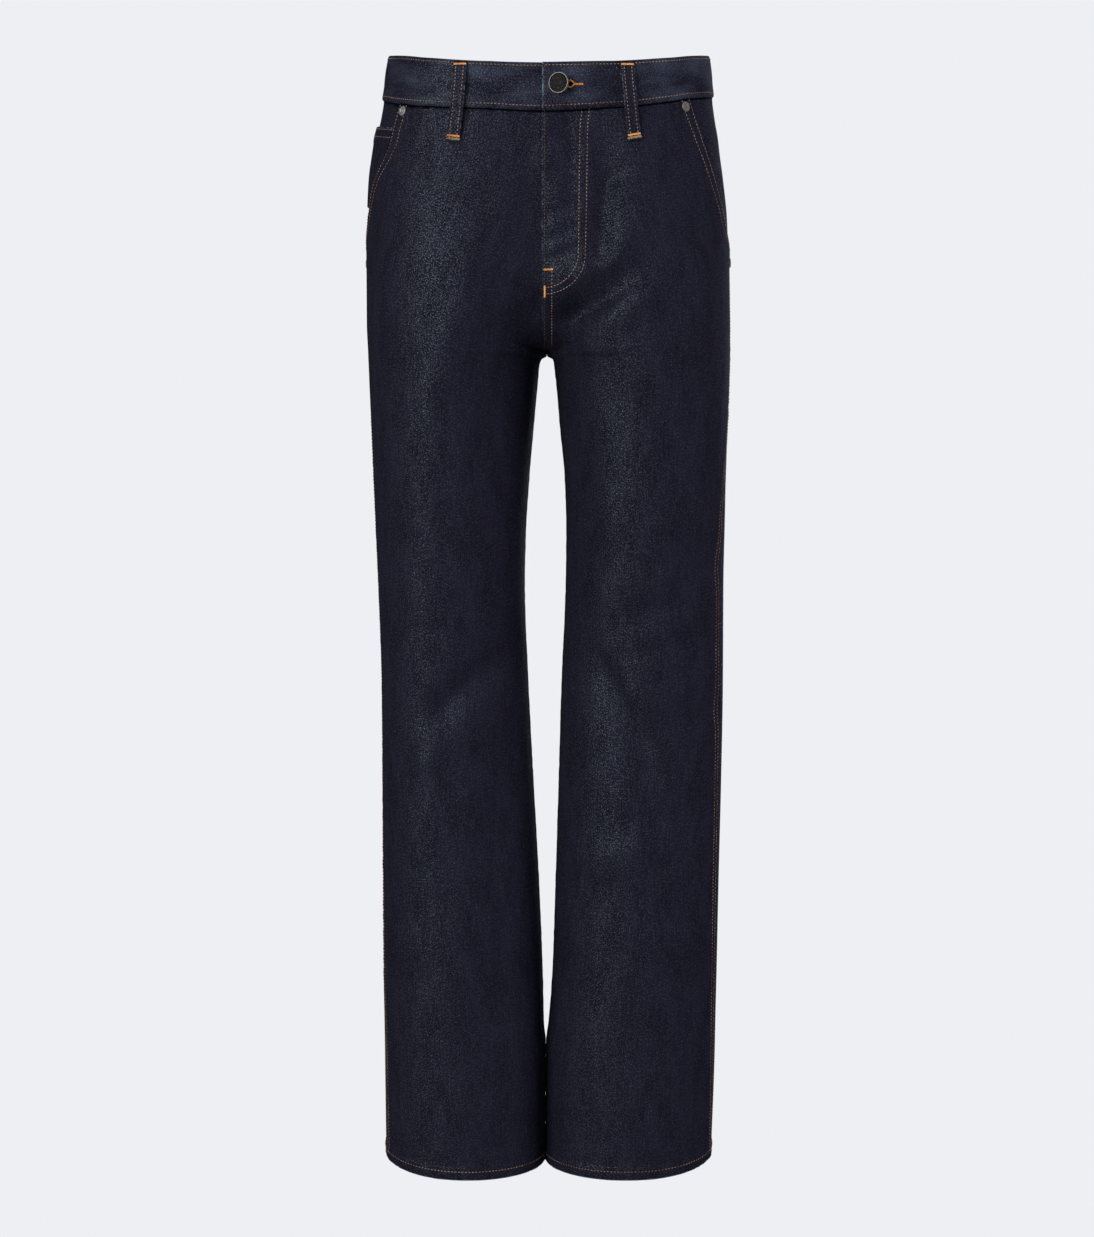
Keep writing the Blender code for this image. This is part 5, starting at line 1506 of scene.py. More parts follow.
# The shank's bend, as distances back from the button, and its back and its sunk face as heights and
# shares of the radius.
SHANK_STRAIGHT, SHANK_BENT = 0.0035, 0.0012
BUTTON_BACK = [(0.0, 0.55), (0.0002, 0.90), (0.0007, 0.985), (0.0014, 1.0)]
BUTTON_FACE_DOWN = 0.55
BUTTON_FACE = [(0.00012, 0.72), (0.00016, 0.66), (0.00008, 0.63), (0.0004, 0.30), (0.0005, 0.08)]

# The rim's roll: its steps, from where to where it turns, and how wide it is for its height.
RIM_STEPS = 8
RIM_FROM, RIM_TURN = -10, 200
RIM_TALL, RIM_WIDE, RIM_INSIDE = 0.5, 0.55, 1.35
RIM_BRIGHT = (3, 4)
NICKEL, BLACKENED = 0, 1

# A rivet's ring and the nub in its middle, as shares of its radius: height, width.
RIVET_PROFILE = [
    (0.00, 0.94), (0.05, 0.985), (0.12, 1.00), (0.20, 0.975), (0.27, 0.90), (0.32, 0.78), (0.33, 0.66),
    (0.29, 0.53), (0.22, 0.46), (0.19, 0.38), (0.21, 0.31), (0.29, 0.26), (0.34, 0.18), (0.36, 0.08),
]


def button_rings():
    """The shank, the rolled rim and the sunk face of the button. The rim is nickel, the face blackened."""
    base, _, _, out = button_frame(BAND_PROUD + SEAM_GAP)
    tilted = Matrix.Rotation(BUTTON_TILT, 3, "Z") @ out
    neck = base + out * (BAND_WALL + BAND_LAP_GAP + BUTTON_STANDOFF)
    shank = [(base, out, SHANK_R, NICKEL), (neck - out * SHANK_STRAIGHT, out, SHANK_R, NICKEL)]
    shank.append((neck - out * SHANK_BENT, (out + tilted).normalized(), SHANK_R, NICKEL))
    rim, r = BUTTON_RIM, BUTTON_R
    turned = [(height, share * r, NICKEL) for height, share in BUTTON_BACK]
    middle = (BUTTON_THICK - rim * RIM_TALL, r - rim * RIM_WIDE)
    for i in range(RIM_STEPS + 1):
        angle = math.radians(RIM_FROM + RIM_TURN * i / RIM_STEPS)
        place = (middle[0] + rim * RIM_TALL * math.sin(angle), middle[1] + rim * RIM_WIDE * math.cos(angle))
        turned.append((*place, NICKEL if i in RIM_BRIGHT else BLACKENED))
    face = BUTTON_THICK * BUTTON_FACE_DOWN
    turned.append((face, r - rim * RIM_INSIDE, BLACKENED))
    turned += [(face + height, share * r, BLACKENED) for height, share in BUTTON_FACE]
    return shank + [(neck + tilted * along, tilted, radius, finish) for along, radius, finish in turned]


# ---- What repeats ----------------------------------------------------------------------------------


def turned_out(tree, along):
    """How a stitch or a rivet turns on its point: its height along "out", its length along the other."""
    out = add(tree, "GeometryNodeInputNamedAttribute", {"Name": "out"}, data_type="FLOAT_VECTOR")
    axes = {"primary_axis": "Z", "secondary_axis": "X"}
    return add(tree, "FunctionNodeAxesToRotation", {0: out, 1: along}, **axes)


def placed_tree(name, inputs):
    """A new tree with a geometry and these named inputs, and what it is given."""
    tree = bpy.data.node_groups.new(name, "GeometryNodeTree")
    for title, kind in {"Geometry": "Geometry", **inputs}.items():
        tree.interface.new_socket(title, in_out="INPUT", socket_type=f"NodeSocket{kind}")
    tree.interface.new_socket("Geometry", in_out="OUTPUT", socket_type="NodeSocketGeometry")
    return tree, add(tree, "NodeGroupInput").outputs


def realized(tree, instances, material, smooth_faces):
    """Ends a tree: its instances become plain faces of one material."""
    real = add(tree, "GeometryNodeRealizeInstances", {"Geometry": instances})
    if smooth_faces:
        real = add(tree, "GeometryNodeSetShadeSmooth", {"Geometry": real})
    done = add(tree, "GeometryNodeSetMaterial", {"Geometry": real, "Material": material})
    add(tree, "NodeGroupOutput", {"Geometry": done})
    return tree


def sewn_row_tree():
    """Stitches at an even pitch along every line of a mesh, each a small bead of thread on the cloth."""
    sizes = dict.fromkeys(("Pitch", "Length", "Width", "Height", "Turn", "Waver"), "Float")
    tree, given = placed_tree("sewn_row", {**sizes, "Seed": "Int", "Thread": "Material"})
    line = add(tree, "GeometryNodeMeshToCurve", {"Mesh": given["Geometry"]})
    even = add(tree, "GeometryNodeResampleCurve", {"Curve": line, "Length": given["Pitch"]}, mode="LENGTH")
    back = add(tree, "ShaderNodeMath", {0: given["Waver"], 1: -1.0}, operation="MULTIPLY")
    # The float range of a random value has its third and fourth inputs.
    range_and_seed = {2: back, 3: given["Waver"], "Seed": given["Seed"]}
    waver = add(tree, "FunctionNodeRandomValue", range_and_seed, data_type="FLOAT")
    angle = add(tree, "ShaderNodeMath", {0: given["Turn"], 1: waver}, operation="ADD")
    spin = add(tree, "FunctionNodeAxisAngleToRotation", {"Axis": (0, 0, 1), "Angle": angle})
    seated = turned_out(tree, add(tree, "GeometryNodeInputTangent"))
    spun = {"Rotation": seated, "Rotate By": spin}
    turn = add(tree, "FunctionNodeRotateRotation", spun, rotation_space="LOCAL")
    along_across_out = {"X": given["Length"], "Y": given["Width"], "Z": given["Height"]}
    size = add(tree, "ShaderNodeCombineXYZ", along_across_out)
    bead = add(tree, "GeometryNodeMeshUVSphere", {"Segments": 6, "Rings": 4, "Radius": 0.5})
    beads = {"Points": even, "Instance": bead, "Rotation": turn, "Scale": size}
    return realized(tree, add(tree, "GeometryNodeInstanceOnPoints", beads), given["Thread"], True)


def rivets_tree():
    """One rivet on every point of a mesh, standing along its "out"."""
    tree, given = placed_tree("set_rivets", {"Rivet": "Object", "Radius": "Float", "Metal": "Material"})
    rivet = add(tree, "GeometryNodeObjectInfo", {"Object": given["Rivet"]}).outputs["Geometry"]
    turn = turned_out(tree, (0, 0, 1))
    rivets = {"Points": given["Geometry"], "Instance": rivet, "Rotation": turn, "Scale": given["Radius"]}
    return realized(tree, add(tree, "GeometryNodeInstanceOnPoints", rivets), given["Metal"], False)


def run_tree(piece, tree, values):
    """Runs a node tree on a piece with these named inputs, and keeps the result as its plain mesh."""
    run = piece.modifiers.new(tree.name, "NODES")
    run.node_group = tree
    for item in tree.interface.items_tree:
        if item.in_out == "INPUT" and item.name in values:
            run[item.identifier] = values[item.name]
    settle(piece)


def lines_object(name, lines):
    """A mesh of bare edges through lines of points, or of points alone, with their normals as "out"."""
    points, edges, out = [], [], []
    for places_on_line, normals in lines:
        first = len(points)
        points += [tuple(point) for point in places_on_line]
        out += [tuple(normal) for normal in normals]
        edges += [(first + i, first + i + 1) for i in range(len(places_on_line) - 1)]
    mesh = bpy.data.meshes.new(name)
    mesh.from_pydata(points, edges, [])
    attribute = mesh.attributes.new("out", "FLOAT_VECTOR", "POINT")
    attribute.data.foreach_set("vector", np.array(out, np.float32).ravel())
    return put(name, mesh)


# ---- Sewing lines ----------------------------------------------------------------------------------

THREAD_LIFT = 0.00012
FLARE_OVER = 0.03
SEWN_SPACING = 0.003


def line_at(cloth, edge, distance, start=0.0, stop=0.0, above=None, flare=0.0):
    """A line on a piece at a distance in from one edge, from start to stop short of its ends.

    Along the pocket mouth it runs farther in, by the flare.
    """
    outer, normals, away = cloth.outer, cloth.normals, cloth.away(edge)
    if edge in ("top", "foot"):
        outer, normals, away = outer.swapaxes(0, 1), normals.swapaxes(0, 1), away.T
    if edge in ("right", "foot"):
        outer, normals, away = outer[:, ::-1], normals[:, ::-1], away[:, ::-1]
    points, out = [], []
    for row, normal, gap in zip(outer, normals, away):
        wanted = distance + flare * smooth((row[0, 2] - POCKET_FOOT_Z) / FLARE_OVER)
        if gap[-1] < wanted:
            continue
        at = np.interp(wanted, gap, np.arange(len(gap)))
        j = min(int(at), len(gap) - 2)
        points.append(row[j] + (row[j + 1] - row[j]) * (at - j))
        out.append(normal[j])
    points, out = np.array(points), np.array(out)
    run = np.concatenate([[0], np.cumsum(np.linalg.norm(np.diff(points, axis=0), axis=1))])
    keep = (run >= start) & (run <= run[-1] - stop)
    if above is not None:
        keep &= points[:, 2] > above
    return points[keep] + out[keep] * THREAD_LIFT, out[keep]


SIGHT_FROM_Y = -0.4


class ClothMap:
    """Finds where a straight line of sight from the front meets the cloth pieces."""

    def __init__(self, names):
        points, faces = [], []
        for name in names:
            piece = bpy.data.objects[name + CLOTH_SUFFIX]
            first = len(points)
            points += [vertex.co.copy() for vertex in piece.data.vertices]
            faces += [tuple(first + i for i in face.vertices) for face in piece.data.polygons]
        self.tree = BVHTree.FromPolygons(points, faces)

    def line(self, places_xz):
        points, out = [], []
        for x, z in places_xz:
            hit, normal, _, _ = self.tree.ray_cast(Vector((x, SIGHT_FROM_Y, z)), Vector((0, 1, 0)))
            if hit is not None:
                points.append(np.array(hit + normal * THREAD_LIFT))
                out.append(np.array(normal))
        return np.array(points), np.array(out)


def dense(corners, spacing=SEWN_SPACING):
    """Points along straight runs between corners, no farther apart than the spacing."""
    points = [corners[0]]
    for a, b in zip(corners, corners[1:]):
        steps = max(1, math.ceil(math.dist(a, b) / spacing))
        points += [tuple(p + (q - p) * (i + 1) / steps for p, q in zip(a, b)) for i in range(steps)]
    return points


# ---- Where the thread goes -------------------------------------------------------------------------

# A row of topstitching at a distance in from a piece's edge, from start to stop short of its ends, above
# a height, and farther in by the flare along the pocket mouth.
SewnRow = namedtuple("SewnRow", "node edge distance start stop above flare", defaults=[0.0, 0.0, None, 0.0])
NEAR_ROW, FAR_ROW = 0.0021, 0.0083
MOUTH_FLARE = {NEAR_ROW: 0.0, FAR_ROW: 0.0035}
HEM_ROW = 0.0088
YOKE_ROW_START = 0.001
RISE_ROW_END_Z = CROTCH_Z + 0.003
BAND_SEWN_ROWS = {"top": 0.0030, "foot": 0.0043}
BAND_END_SEWN_ROW = 0.0026
LOOP_SEWN_ROW = 0.0027
LOOP_ROW_START, LOOP_ROW_STOP = 0.0022, 0.0032
COIN_SEWN_ROWS = (0.0022, 0.0096)
PATCH_SEWN_ROWS = (0.0020, 0.0075)
PATCH_HEM_ROW = 0.0120


def panel_topstitching():
    rows = []
    for name in SIDE_NAMES.values():
        for distance in (NEAR_ROW, FAR_ROW):
            flare = MOUTH_FLARE[distance]
            rows.append(SewnRow(f"front_{name}", "right", distance, stop=HEM_ROW, flare=flare))
            rows.append(SewnRow(f"pocket_facing_{name}", "right", distance))
            rows.append(SewnRow(f"yoke_{name}", "foot", distance, start=YOKE_ROW_START))
        rows.append(SewnRow(f"front_{name}", "foot", HEM_ROW))
        rows.append(SewnRow(f"back_{name}", "foot", HEM_ROW))
    for distance in (NEAR_ROW, FAR_ROW):
        rows.append(SewnRow("back_left", "right", distance, above=RISE_ROW_END_Z))
        rows.append(SewnRow("yoke_left", "right", distance))
    return rows


def band_topstitching():
    return [SewnRow("waistband", *row, start=BAND_END_SEWN_ROW) for row in BAND_SEWN_ROWS.items()]


def loop_topstitching():
    return [
        SewnRow(f"belt_loop_{loop.place}", edge, LOOP_SEWN_ROW, LOOP_ROW_START, LOOP_ROW_STOP)
        for loop in LOOPS
        for edge in ("left", "right")
    ]


def pocket_topstitching():
    rows = [SewnRow("coin_pocket", "top", distance) for distance in COIN_SEWN_ROWS]
    for name in SIDE_NAMES.values():
        node, near = f"back_pocket_{name}", PATCH_SEWN_ROWS[0]
        rows.append(SewnRow(node, "top", PATCH_HEM_ROW, start=near, stop=near))
        for distance in PATCH_SEWN_ROWS:
            for edge in ("left", "right"):
                rows.append(SewnRow(node, edge, distance, start=near / 2, stop=distance))
            rows.append(SewnRow(node, "foot", distance, start=distance, stop=distance))
    return rows


# The fly's rows, by x and z, over whatever lies outermost there.
FLY_EDGE_ROW = [(-0.0024, -0.0460), (-0.0024, -0.2660)]
CROTCH_ROW = [(0.0046, -0.1942), (0.0046, -0.2658)]
J_INNER = [(0.0329, -0.0460), (0.0309, -0.0640), (0.0304, -0.0940), (0.0300, -0.1310), (0.0297, -0.1780)]
J_OUTER = [(0.0396, -0.0460), (0.0379, -0.0640), (0.0375, -0.0940), (0.0370, -0.1310), (0.0360, -0.1820)]
J_FOOT_X = -0.0014
J_INNER_FOOT_Z, J_OUTER_FOOT_Z = -0.2117, -0.2175
J_TURN_POINTS = 24
FLY_TACKS = [
    [(-0.0030, -0.1952), (0.0054, -0.1952)],
    [(-0.0021, -0.2102), (-0.0021, -0.2204)],
]
BAND_END_ROW = SewnRow("waistband", "left", BAND_END_SEWN_ROW, *BAND_SEWN_ROWS.values())
LOOSE_STITCH = [(0.0655, -0.0085), (0.0690, -0.0140)]
TACK_SPACING = 0.001

# The bars over the ends of the loops and the upper corners of the back pockets, as distances in.
LOOP_TACKS = {"top": 0.0036, "foot": 0.0050}
LOOP_TACK_INSET = 0.0004
LOOP_FRAY = 0.0024
PATCH_TACK = 0.0047
PATCH_TACK_START, PATCH_TACK_END = 0.0006, 0.0110


def curved_under(row, foot_z):
    """The J of the fly: a straight run of corners, and then a quarter of an ellipse to the front edge."""
    x, z = row[-1]
    turn = [
        (J_FOOT_X + (x - J_FOOT_X) * math.cos(a), z + (foot_z - z) * math.sin(a))
        for a in np.linspace(0, math.pi / 2, J_TURN_POINTS)
    ]
    return dense(row) + turn[1:]


# How a row's stitches lie: from one to the next, their length, width and height, how far they turn from
# the row, and how unevenly.
Lay = namedtuple("Lay", "Pitch Length Width Height Turn Waver")
CROSSWISE = math.radians(90)
WAVER = 0.09
THREAD_FLATNESS = 0.75
BARTACK = Lay(0.0005, 0.0024, 0.0006, 0.0010, CROSSWISE, 0.12)
FRAYED_END = Lay(0.0006, 0.0034, 0.0005, 0.0005, CROSSWISE, 0.50)
PURL = Lay(0.0005, 0.0019, 0.0006, 0.0011, CROSSWISE, 0.20)
PURL_BAR = Lay(0.0005, 0.0022, 0.0006, 0.0011, CROSSWISE, 0.20)


def sew(name, lines, thread, lay, seed):
    """One plain mesh of stitches along these lines, riding on the garment."""
    row = lines_object(name, [line for line in lines if len(line[0]) > 1])
    tree = bpy.data.node_groups.get("sewn_row") or sewn_row_tree()
    run_tree(row, tree, {**lay._asdict(), "Seed": seed, "Thread": thread})
    if not row.data.polygons:
        raise RuntimeError(f"{name}: no stitches were made")
    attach(row, BODY)
    return row


def follow(rows):
    return [line_at(CUT[node], *row) for node, *row in rows]


# The buttonhole's edge: how far out from the hole it lies, how finely it follows it, and the bar at its end.
PURL_MARGIN = 0.0008
PURL_SPACING = 0.0006
PURL_BAR_LINE = [(0.0258, -0.0240), (0.0334, -0.0240)]


def purl_line():
    """Round the buttonhole, on the waistband's upper end."""
    place, across, up, _ = button_frame(BAND_PROUD + BAND_LAP_LIFT)
    loop = keyhole(PURL_MARGIN)
    corners = [place + across * a + up * b for a, b in [*loop, loop[0]]]
    course = dense([(corner.x, corner.z) for corner in corners], PURL_SPACING)
    return ClothMap(["waistband"]).line(course)


# ---- The settings a user would change --------------------------------------------------------------

COLOUR = {"subtype": "COLOR", "size": 4, "min": 0.0, "max": 1.0}
LENGTH = {"subtype": "DISTANCE", "unit": "LENGTH"}
POWER = {"subtype": "POWER", "unit": "POWER", "min": 0.0}


class JeansDenim(bpy.types.PropertyGroup):
    """The colours of the cloth."""

    deep: FloatVectorProperty(
        name="Deep indigo",
        description="The darkest clouds of the dyed warp",
        default=linear("#14111D"),
        **COLOUR,
    )
    ink: FloatVectorProperty(
        name="Indigo",
        description="The lighter clouds of the dyed warp",
        default=linear("#1A1725"),
        **COLOUR,
    )
    fleck: FloatVectorProperty(
        name="Weft flecks",
        description="The undyed weft where it shows between the warp threads",
        default=linear("#24272F"),
        **COLOUR,
    )
    worn: FloatVectorProperty(
        name="Rubbed edges",
        description="The blue that is left on a fold where the dye is rubbed off",
        default=linear("#93A6C2"),
        **COLOUR,
    )
    slub_width: FloatProperty(
        name="Slub width",
        description="How wide the thick places in the warp threads are",
        min=0.0005,
        max=0.01,
        default=0.0016,
        **LENGTH,
    )
    sheen: FloatProperty(
        name="Starch sheen",
        description="How strongly the starched warp reflects the light",
        min=0.0,
        max=1.0,
        default=0.37,
    )


class JeansSewing(bpy.types.PropertyGroup):
    """The sizes and colours of the topstitching."""

    pitch: FloatProperty(
        name="Stitch pitch",
        description="From one stitch to the next",
        min=0.0015,
        max=0.008,
        default=0.0034,
        **LENGTH,
    )
    length: FloatProperty(
        name="Stitch length",
        description="How much of the pitch the thread lies on the cloth",
        min=0.001,
        max=0.008,
        default=0.0023,
        **LENGTH,
    )
    thickness: FloatProperty(
        name="Thread width",
        description="The width of the thread where it lies on the cloth",
        min=0.0003,
        max=0.002,
        default=0.0008,
        **LENGTH,
    )
    # The thread's two colours are a painted highlight on its turns and painted shade between them.
    light: FloatVectorProperty(
        name="Thread",
        description="The lit side of the topstitching thread",
        default=linear("#9A8470"),
        **COLOUR,
    )
    dark: FloatVectorProperty(
        name="Thread in its turns",
        description="The thread between its turns",
        default=linear("#74482F"),
        **COLOUR,
    )
    seed: IntProperty(
        name="Seed",
        description="Which of the uneven rows of stitches is sewn",
        min=0,
        default=7,
    )


class JeansStage(bpy.types.PropertyGroup):
    """The light and the paper round the jeans."""

    room: FloatProperty(
        name="Room light",
        description="Strength of the light that comes evenly from all round",
        min=0.0,
        default=0.40,
    )
    key: FloatProperty(
        name="Key light",
        description="Power of the large soft light in front on the left",
        default=105.0,
        **POWER,
    )
    fill: FloatProperty(
        name="Fill light",
        description="Power of the soft light on the right",
        default=70.0,
        **POWER,
    )
    back: FloatProperty(
        name="Back light",
        description="Power of the large soft light behind",
        default=210.0,
        **POWER,
    )


# ---- One operator for each piece or group of like pieces -------------------------------------------


class JEANS_OT_leg_panels(bpy.types.Operator):
    """Cut the two front and the two back panels, from the waist seam to the hems"""

    bl_idname = "jeans.leg_panels"
    bl_label = "Leg panels"

    def execute(self, context):
        for side, name in SIDE_NAMES.items():
            hang(f"front_{name}", cut_front(side))
            hang(f"back_{name}", cut_back(side))
        return {"FINISHED"}


class JEANS_OT_yokes(bpy.types.Operator):
    """Cut the two halves of the yoke, between the waistband and the back panels"""

    bl_idname = "jeans.yokes"
    bl_label = "Yokes"

    def execute(self, context):
        for side, name in SIDE_NAMES.items():
            hang(f"yoke_{name}", cut_yoke(side))
        return {"FINISHED"}


class JEANS_OT_pockets(bpy.types.Operator):
    """Cut the facings behind the slanted pocket mouths, the coin pocket and the back pockets"""

    bl_idname = "jeans.pockets"
    bl_label = "Pockets"

    def execute(self, context):
        for side, name in SIDE_NAMES.items():
            hang(f"pocket_facing_{name}", cut_facing(side))
            hang(f"back_pocket_{name}", cut_back_pocket(side))
        hang("coin_pocket", cut_coin_pocket(RIGHT))
        return {"FINISHED"}


class JEANS_OT_waistband(bpy.types.Operator):
    """Cut the waistband as one strip that laps over itself at the fly, with its buttonhole"""

    bl_idname = "jeans.waistband"
    bl_label = "Waistband"

    def execute(self, context):
        band = hang("waistband", cut_waistband(), grain="across", doubled=True)
        open_buttonhole(band)
        return {"FINISHED"}


class JEANS_OT_belt_loops(bpy.types.Operator):
    """Fold the five belt loops"""

    bl_idname = "jeans.belt_loops"
    bl_label = "Belt loops"

    def execute(self, context):
        for loop in LOOPS:
            hang(f"belt_loop_{loop.place}", cut_loop(loop), doubled=True)
        return {"FINISHED"}


class JEANS_OT_topstitching(bpy.types.Operator):
    """Sew the double and single rows of orange thread along the seams and edges"""

    bl_idname = "jeans.topstitching"
    bl_label = "Topstitching"

    def execute(self, context):
        settings = context.scene.jeans_sewing
        thread = finish_of("core_spun_thread", core_spun_thread, settings)
        fly = ClothMap(["front_left", "front_right"])
        fly_rows = [fly.line(dense(CROTCH_ROW))]
        fly_rows.append(fly.line(curved_under(J_INNER, J_INNER_FOOT_Z)))
        fly_rows.append(fly.line(curved_under(J_OUTER, J_OUTER_FOOT_Z)))
        loose = ClothMap(["waistband"]).line(dense(LOOSE_STITCH))
        groups = {
            "stitches_panels": follow(panel_topstitching()),
            "stitches_fly": fly_rows,
            "stitches_waistband": [*follow(band_topstitching()), loose],
            "stitches_belt_loops": follow(loop_topstitching()),
            "stitches_pockets": follow(pocket_topstitching()),
        }
        height = settings.thickness * THREAD_FLATNESS
        lay = Lay(settings.pitch, settings.length, settings.thickness, height, 0.0, WAVER)
        for i, (name, lines) in enumerate(groups.items()):
            sew(name, lines, thread, lay, settings.seed + i)
        # The rows along the fly's edge and the waistband's end are sewn in a thread painted darker: painted
        # shade.
        shade_painted_thread = finish_of("indigo_stained_thread", painted_shade_thread)
        front_edge = [fly.line(dense(FLY_EDGE_ROW)), *follow([BAND_END_ROW])]
        sew("stitches_front_edge", front_edge, shade_painted_thread, lay, settings.seed)
        return {"FINISHED"}


class JEANS_OT_bartacks(bpy.types.Operator):
    """Sew the dense bars on the belt loops, the fly and the pockets, and the buttonhole's edge"""

    bl_idname = "jeans.bartacks"
    bl_label = "Bartacks and buttonhole"

    def execute(self, context):
        seed = context.scene.jeans_sewing.seed
        thread = finish_of("bartack_thread", bartack_thread)
        inset = {"start": LOOP_TACK_INSET, "stop": LOOP_TACK_INSET}
        loops = [CUT[f"belt_loop_{loop.place}"] for loop in LOOPS]
        tacks = [line_at(cloth, *tack, **inset) for cloth in loops for tack in LOOP_TACKS.items()]
        for name in SIDE_NAMES.values():
            patch = CUT[f"back_pocket_{name}"]
            run = patch.down[-1].max() - PATCH_TACK_END
            for edge in ("left", "right"):
                tacks.append(line_at(patch, edge, PATCH_TACK, start=PATCH_TACK_START, stop=run))
        fly, band = ClothMap(["front_left", "front_right"]), ClothMap(["waistband"])
        tacks += [fly.line(dense(tack, TACK_SPACING)) for tack in FLY_TACKS]
        sew("bartacks", tacks, thread, BARTACK, seed)
        ecru = finish_of("frayed_ecru_weft", ecru_ends)
        sew("loop_ends", [line_at(cloth, "foot", LOOP_FRAY) for cloth in loops], ecru, FRAYED_END, seed)
        sew("buttonhole_purl", [purl_line()], thread, PURL, seed)
        bar = band.line(dense(PURL_BAR_LINE, TACK_SPACING))
        sew("buttonhole_bar", [bar], thread, PURL_BAR, seed)
        return {"FINISHED"}


class JEANS_OT_button(bpy.types.Operator):
    """Turn the shank button, with its rolled rim and its plain sunk face"""

    bl_idname = "jeans.button"
    bl_label = "Button"

    def execute(self, context):
        nickel = finish_of("tumbled_nickel_plate", nickel_plate)
        finishes = [nickel, finish_of("blackened_nickel", gunmetal_plate)]
        button = put("shank_button", turned_solid("button", button_rings(), BUTTON_SIDES, finishes))
        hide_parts("button")
        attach(button, BODY)
        return {"FINISHED"}


class JEANS_OT_rivets(bpy.types.Operator):
    """Set the four rivets at the ends of the pocket mouths"""

    bl_idname = "jeans.rivets"
    bl_label = "Rivets"

    def execute(self, context):
        nickel = finish_of("tumbled_nickel_plate", nickel_plate)
        axis = Vector((0, 0, 1))
        rings = [(axis * up, axis, wide, NICKEL) for up, wide in RIVET_PROFILE]
        source = put("rivet_source", turned_solid("rivet_source", rings, RIVET_SIDES, [nickel]))
        bases = [[raised(r.side, r.turn, r.z, r.seat)] for r in RIVETS]
        outs = [[outward(r.side, r.turn, r.z)] for r in RIVETS]
        rivets = lines_object("rivets", zip(bases, outs))
        run_tree(rivets, rivets_tree(), {"Rivet": source, "Radius": RIVET_R, "Metal": nickel})
        bpy.data.objects.remove(source, do_unlink=True)
        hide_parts(*(f"rivet_{r.place}" for r in RIVETS))
        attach(rivets, BODY)
        return {"FINISHED"}


FLOOR_BELOW_HEM = 0.04
DOME_R = 12.0

# The lamps, all aimed at one height of the jeans. Only the key light shows in their gloss.
Lamp = namedtuple("Lamp", "name place size")
LAMPS = [
    Lamp("key", (-2.1, -2.6, 0.3), 2.4),
    Lamp("fill", (2.75, -1.3, 0.25), 1.8),
    Lamp("back", (0.9, 3.0, 0.2), 2.4),
]
LAMPS_AIM = Vector((0, 0, -0.45))

# The camera's place, how far down it looks, and its lens as a multiple of its sensor's width.
CAMERA_AT = (0.0, -2.3, -0.3463)
CAMERA_DOWN = math.radians(4.685)
SENSOR_WIDTH = 36.0
LENS_PER_WIDTH = 2300 / 1094


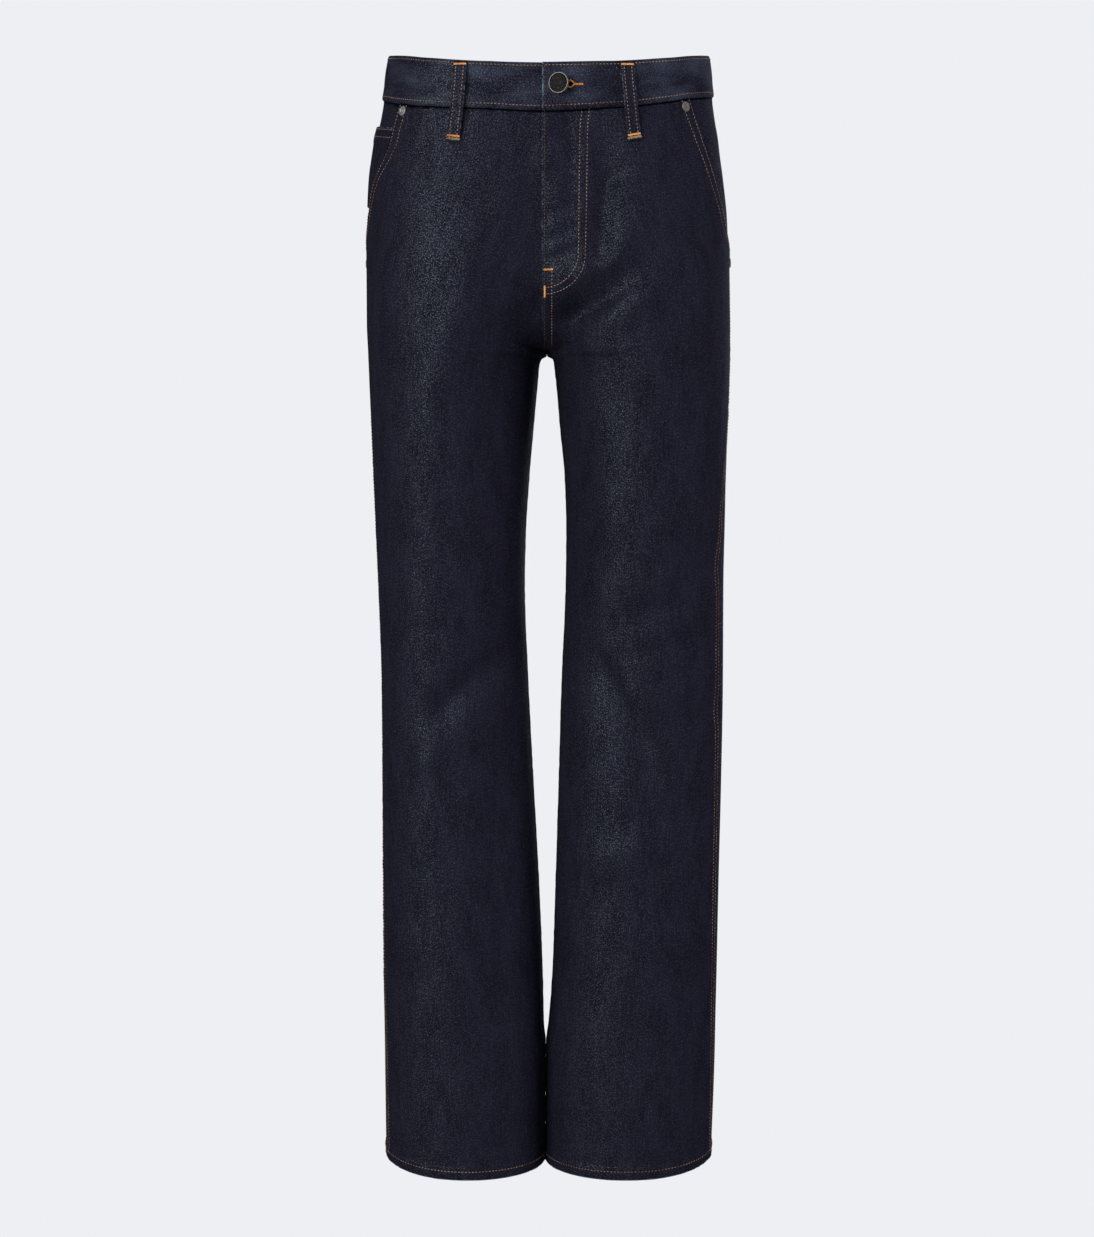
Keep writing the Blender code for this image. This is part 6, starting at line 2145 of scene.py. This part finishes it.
class JEANS_OT_stage(bpy.types.Operator):
    """Lay the pale floor, hang the lights and set the camera"""

    bl_idname = "jeans.stage"
    bl_label = "Stage"

    def execute(self, context):
        settings = context.scene.jeans_stage
        # The paper gives off its own colour, so it is left out of the light on the jeans.
        for name in ("floor", "dome"):
            work = bmesh.new()
            if name == "floor":
                bmesh.ops.create_circle(work, cap_ends=True, radius=DOME_R, segments=64)
                floor_z = CAD_BOX[0][2] - FLOOR_BELOW_HEM
                bmesh.ops.translate(work, verts=work.verts, vec=(0, 0, floor_z))
            else:
                bmesh.ops.create_uvsphere(work, u_segments=48, v_segments=24, radius=DOME_R)
            mesh = bpy.data.meshes.new(name)
            work.to_mesh(mesh)
            work.free()
            mesh.materials.append(finish_of("backdrop_paper", backdrop_paper))
            paper = put(name, mesh)
            paper.visible_diffuse = paper.visible_glossy = paper.visible_shadow = False
        world = bpy.data.worlds.new("soft_room_light")
        world.use_nodes = True
        room = world.node_tree.nodes["Background"]
        room.inputs["Color"].default_value = linear(PAPER)
        room.inputs["Strength"].default_value = settings.room
        context.scene.world = world
        world.cycles_visibility.glossy = False
        for name, place, size in LAMPS:
            lamp = bpy.data.lights.new(name, "AREA")
            lamp.shape = "DISK"
            lamp.size = size
            lamp.energy = getattr(settings, name)
            light = put(name, lamp)
            light.location = place
            light.rotation_euler = (LAMPS_AIM - light.location).to_track_quat("-Z", "Y").to_euler()
            light.visible_glossy = name == "key"
        lens = bpy.data.cameras.new("camera")
        lens.sensor_fit = "HORIZONTAL"
        lens.sensor_width = SENSOR_WIDTH
        lens.lens = SENSOR_WIDTH * LENS_PER_WIDTH
        camera = put("camera", lens)
        camera.location = CAMERA_AT
        camera.rotation_euler = (math.pi / 2 - CAMERA_DOWN, 0, 0)
        context.scene.camera = camera
        context.scene.view_settings.view_transform = "Standard"
        return {"FINISHED"}


class JEANS_PT_panel(bpy.types.Panel):
    """The jeans' settings and pieces"""

    bl_idname = "JEANS_PT_panel"
    bl_label = "Straight leg jeans"
    bl_space_type = "VIEW_3D"
    bl_region_type = "UI"
    bl_category = "Jeans"

    def draw(self, context):
        for title, group in (
            ("Cloth", context.scene.jeans_denim),
            ("Sewing", context.scene.jeans_sewing),
            ("Stage", context.scene.jeans_stage),
        ):
            box = self.layout.box()
            box.label(text=title)
            for name in group.bl_rna.properties.keys():
                if name not in ("rna_type", "name"):
                    box.prop(group, name)
        for operator in PIECES:
            self.layout.operator(operator.bl_idname)


PIECES = [
    JEANS_OT_leg_panels,
    JEANS_OT_yokes,
    JEANS_OT_pockets,
    JEANS_OT_waistband,
    JEANS_OT_belt_loops,
    JEANS_OT_topstitching,
    JEANS_OT_bartacks,
    JEANS_OT_button,
    JEANS_OT_rivets,
    JEANS_OT_stage,
]
GROUPS = {"jeans_denim": JeansDenim, "jeans_sewing": JeansSewing, "jeans_stage": JeansStage}


def register():
    for shown in [*GROUPS.values(), *PIECES, JEANS_PT_panel]:
        bpy.utils.register_class(shown)
    for name, group in GROUPS.items():
        setattr(bpy.types.Scene, name, PointerProperty(type=group))


def unregister():
    for name in GROUPS:
        delattr(bpy.types.Scene, name)
    for shown in [JEANS_PT_panel, *reversed(PIECES), *reversed(GROUPS.values())]:
        bpy.utils.unregister_class(shown)


def main():
    register()
    for piece in PIECES:
        group, name = piece.bl_idname.split(".")
        getattr(getattr(bpy.ops, group), name)()


if __name__ == "__main__":
    main()
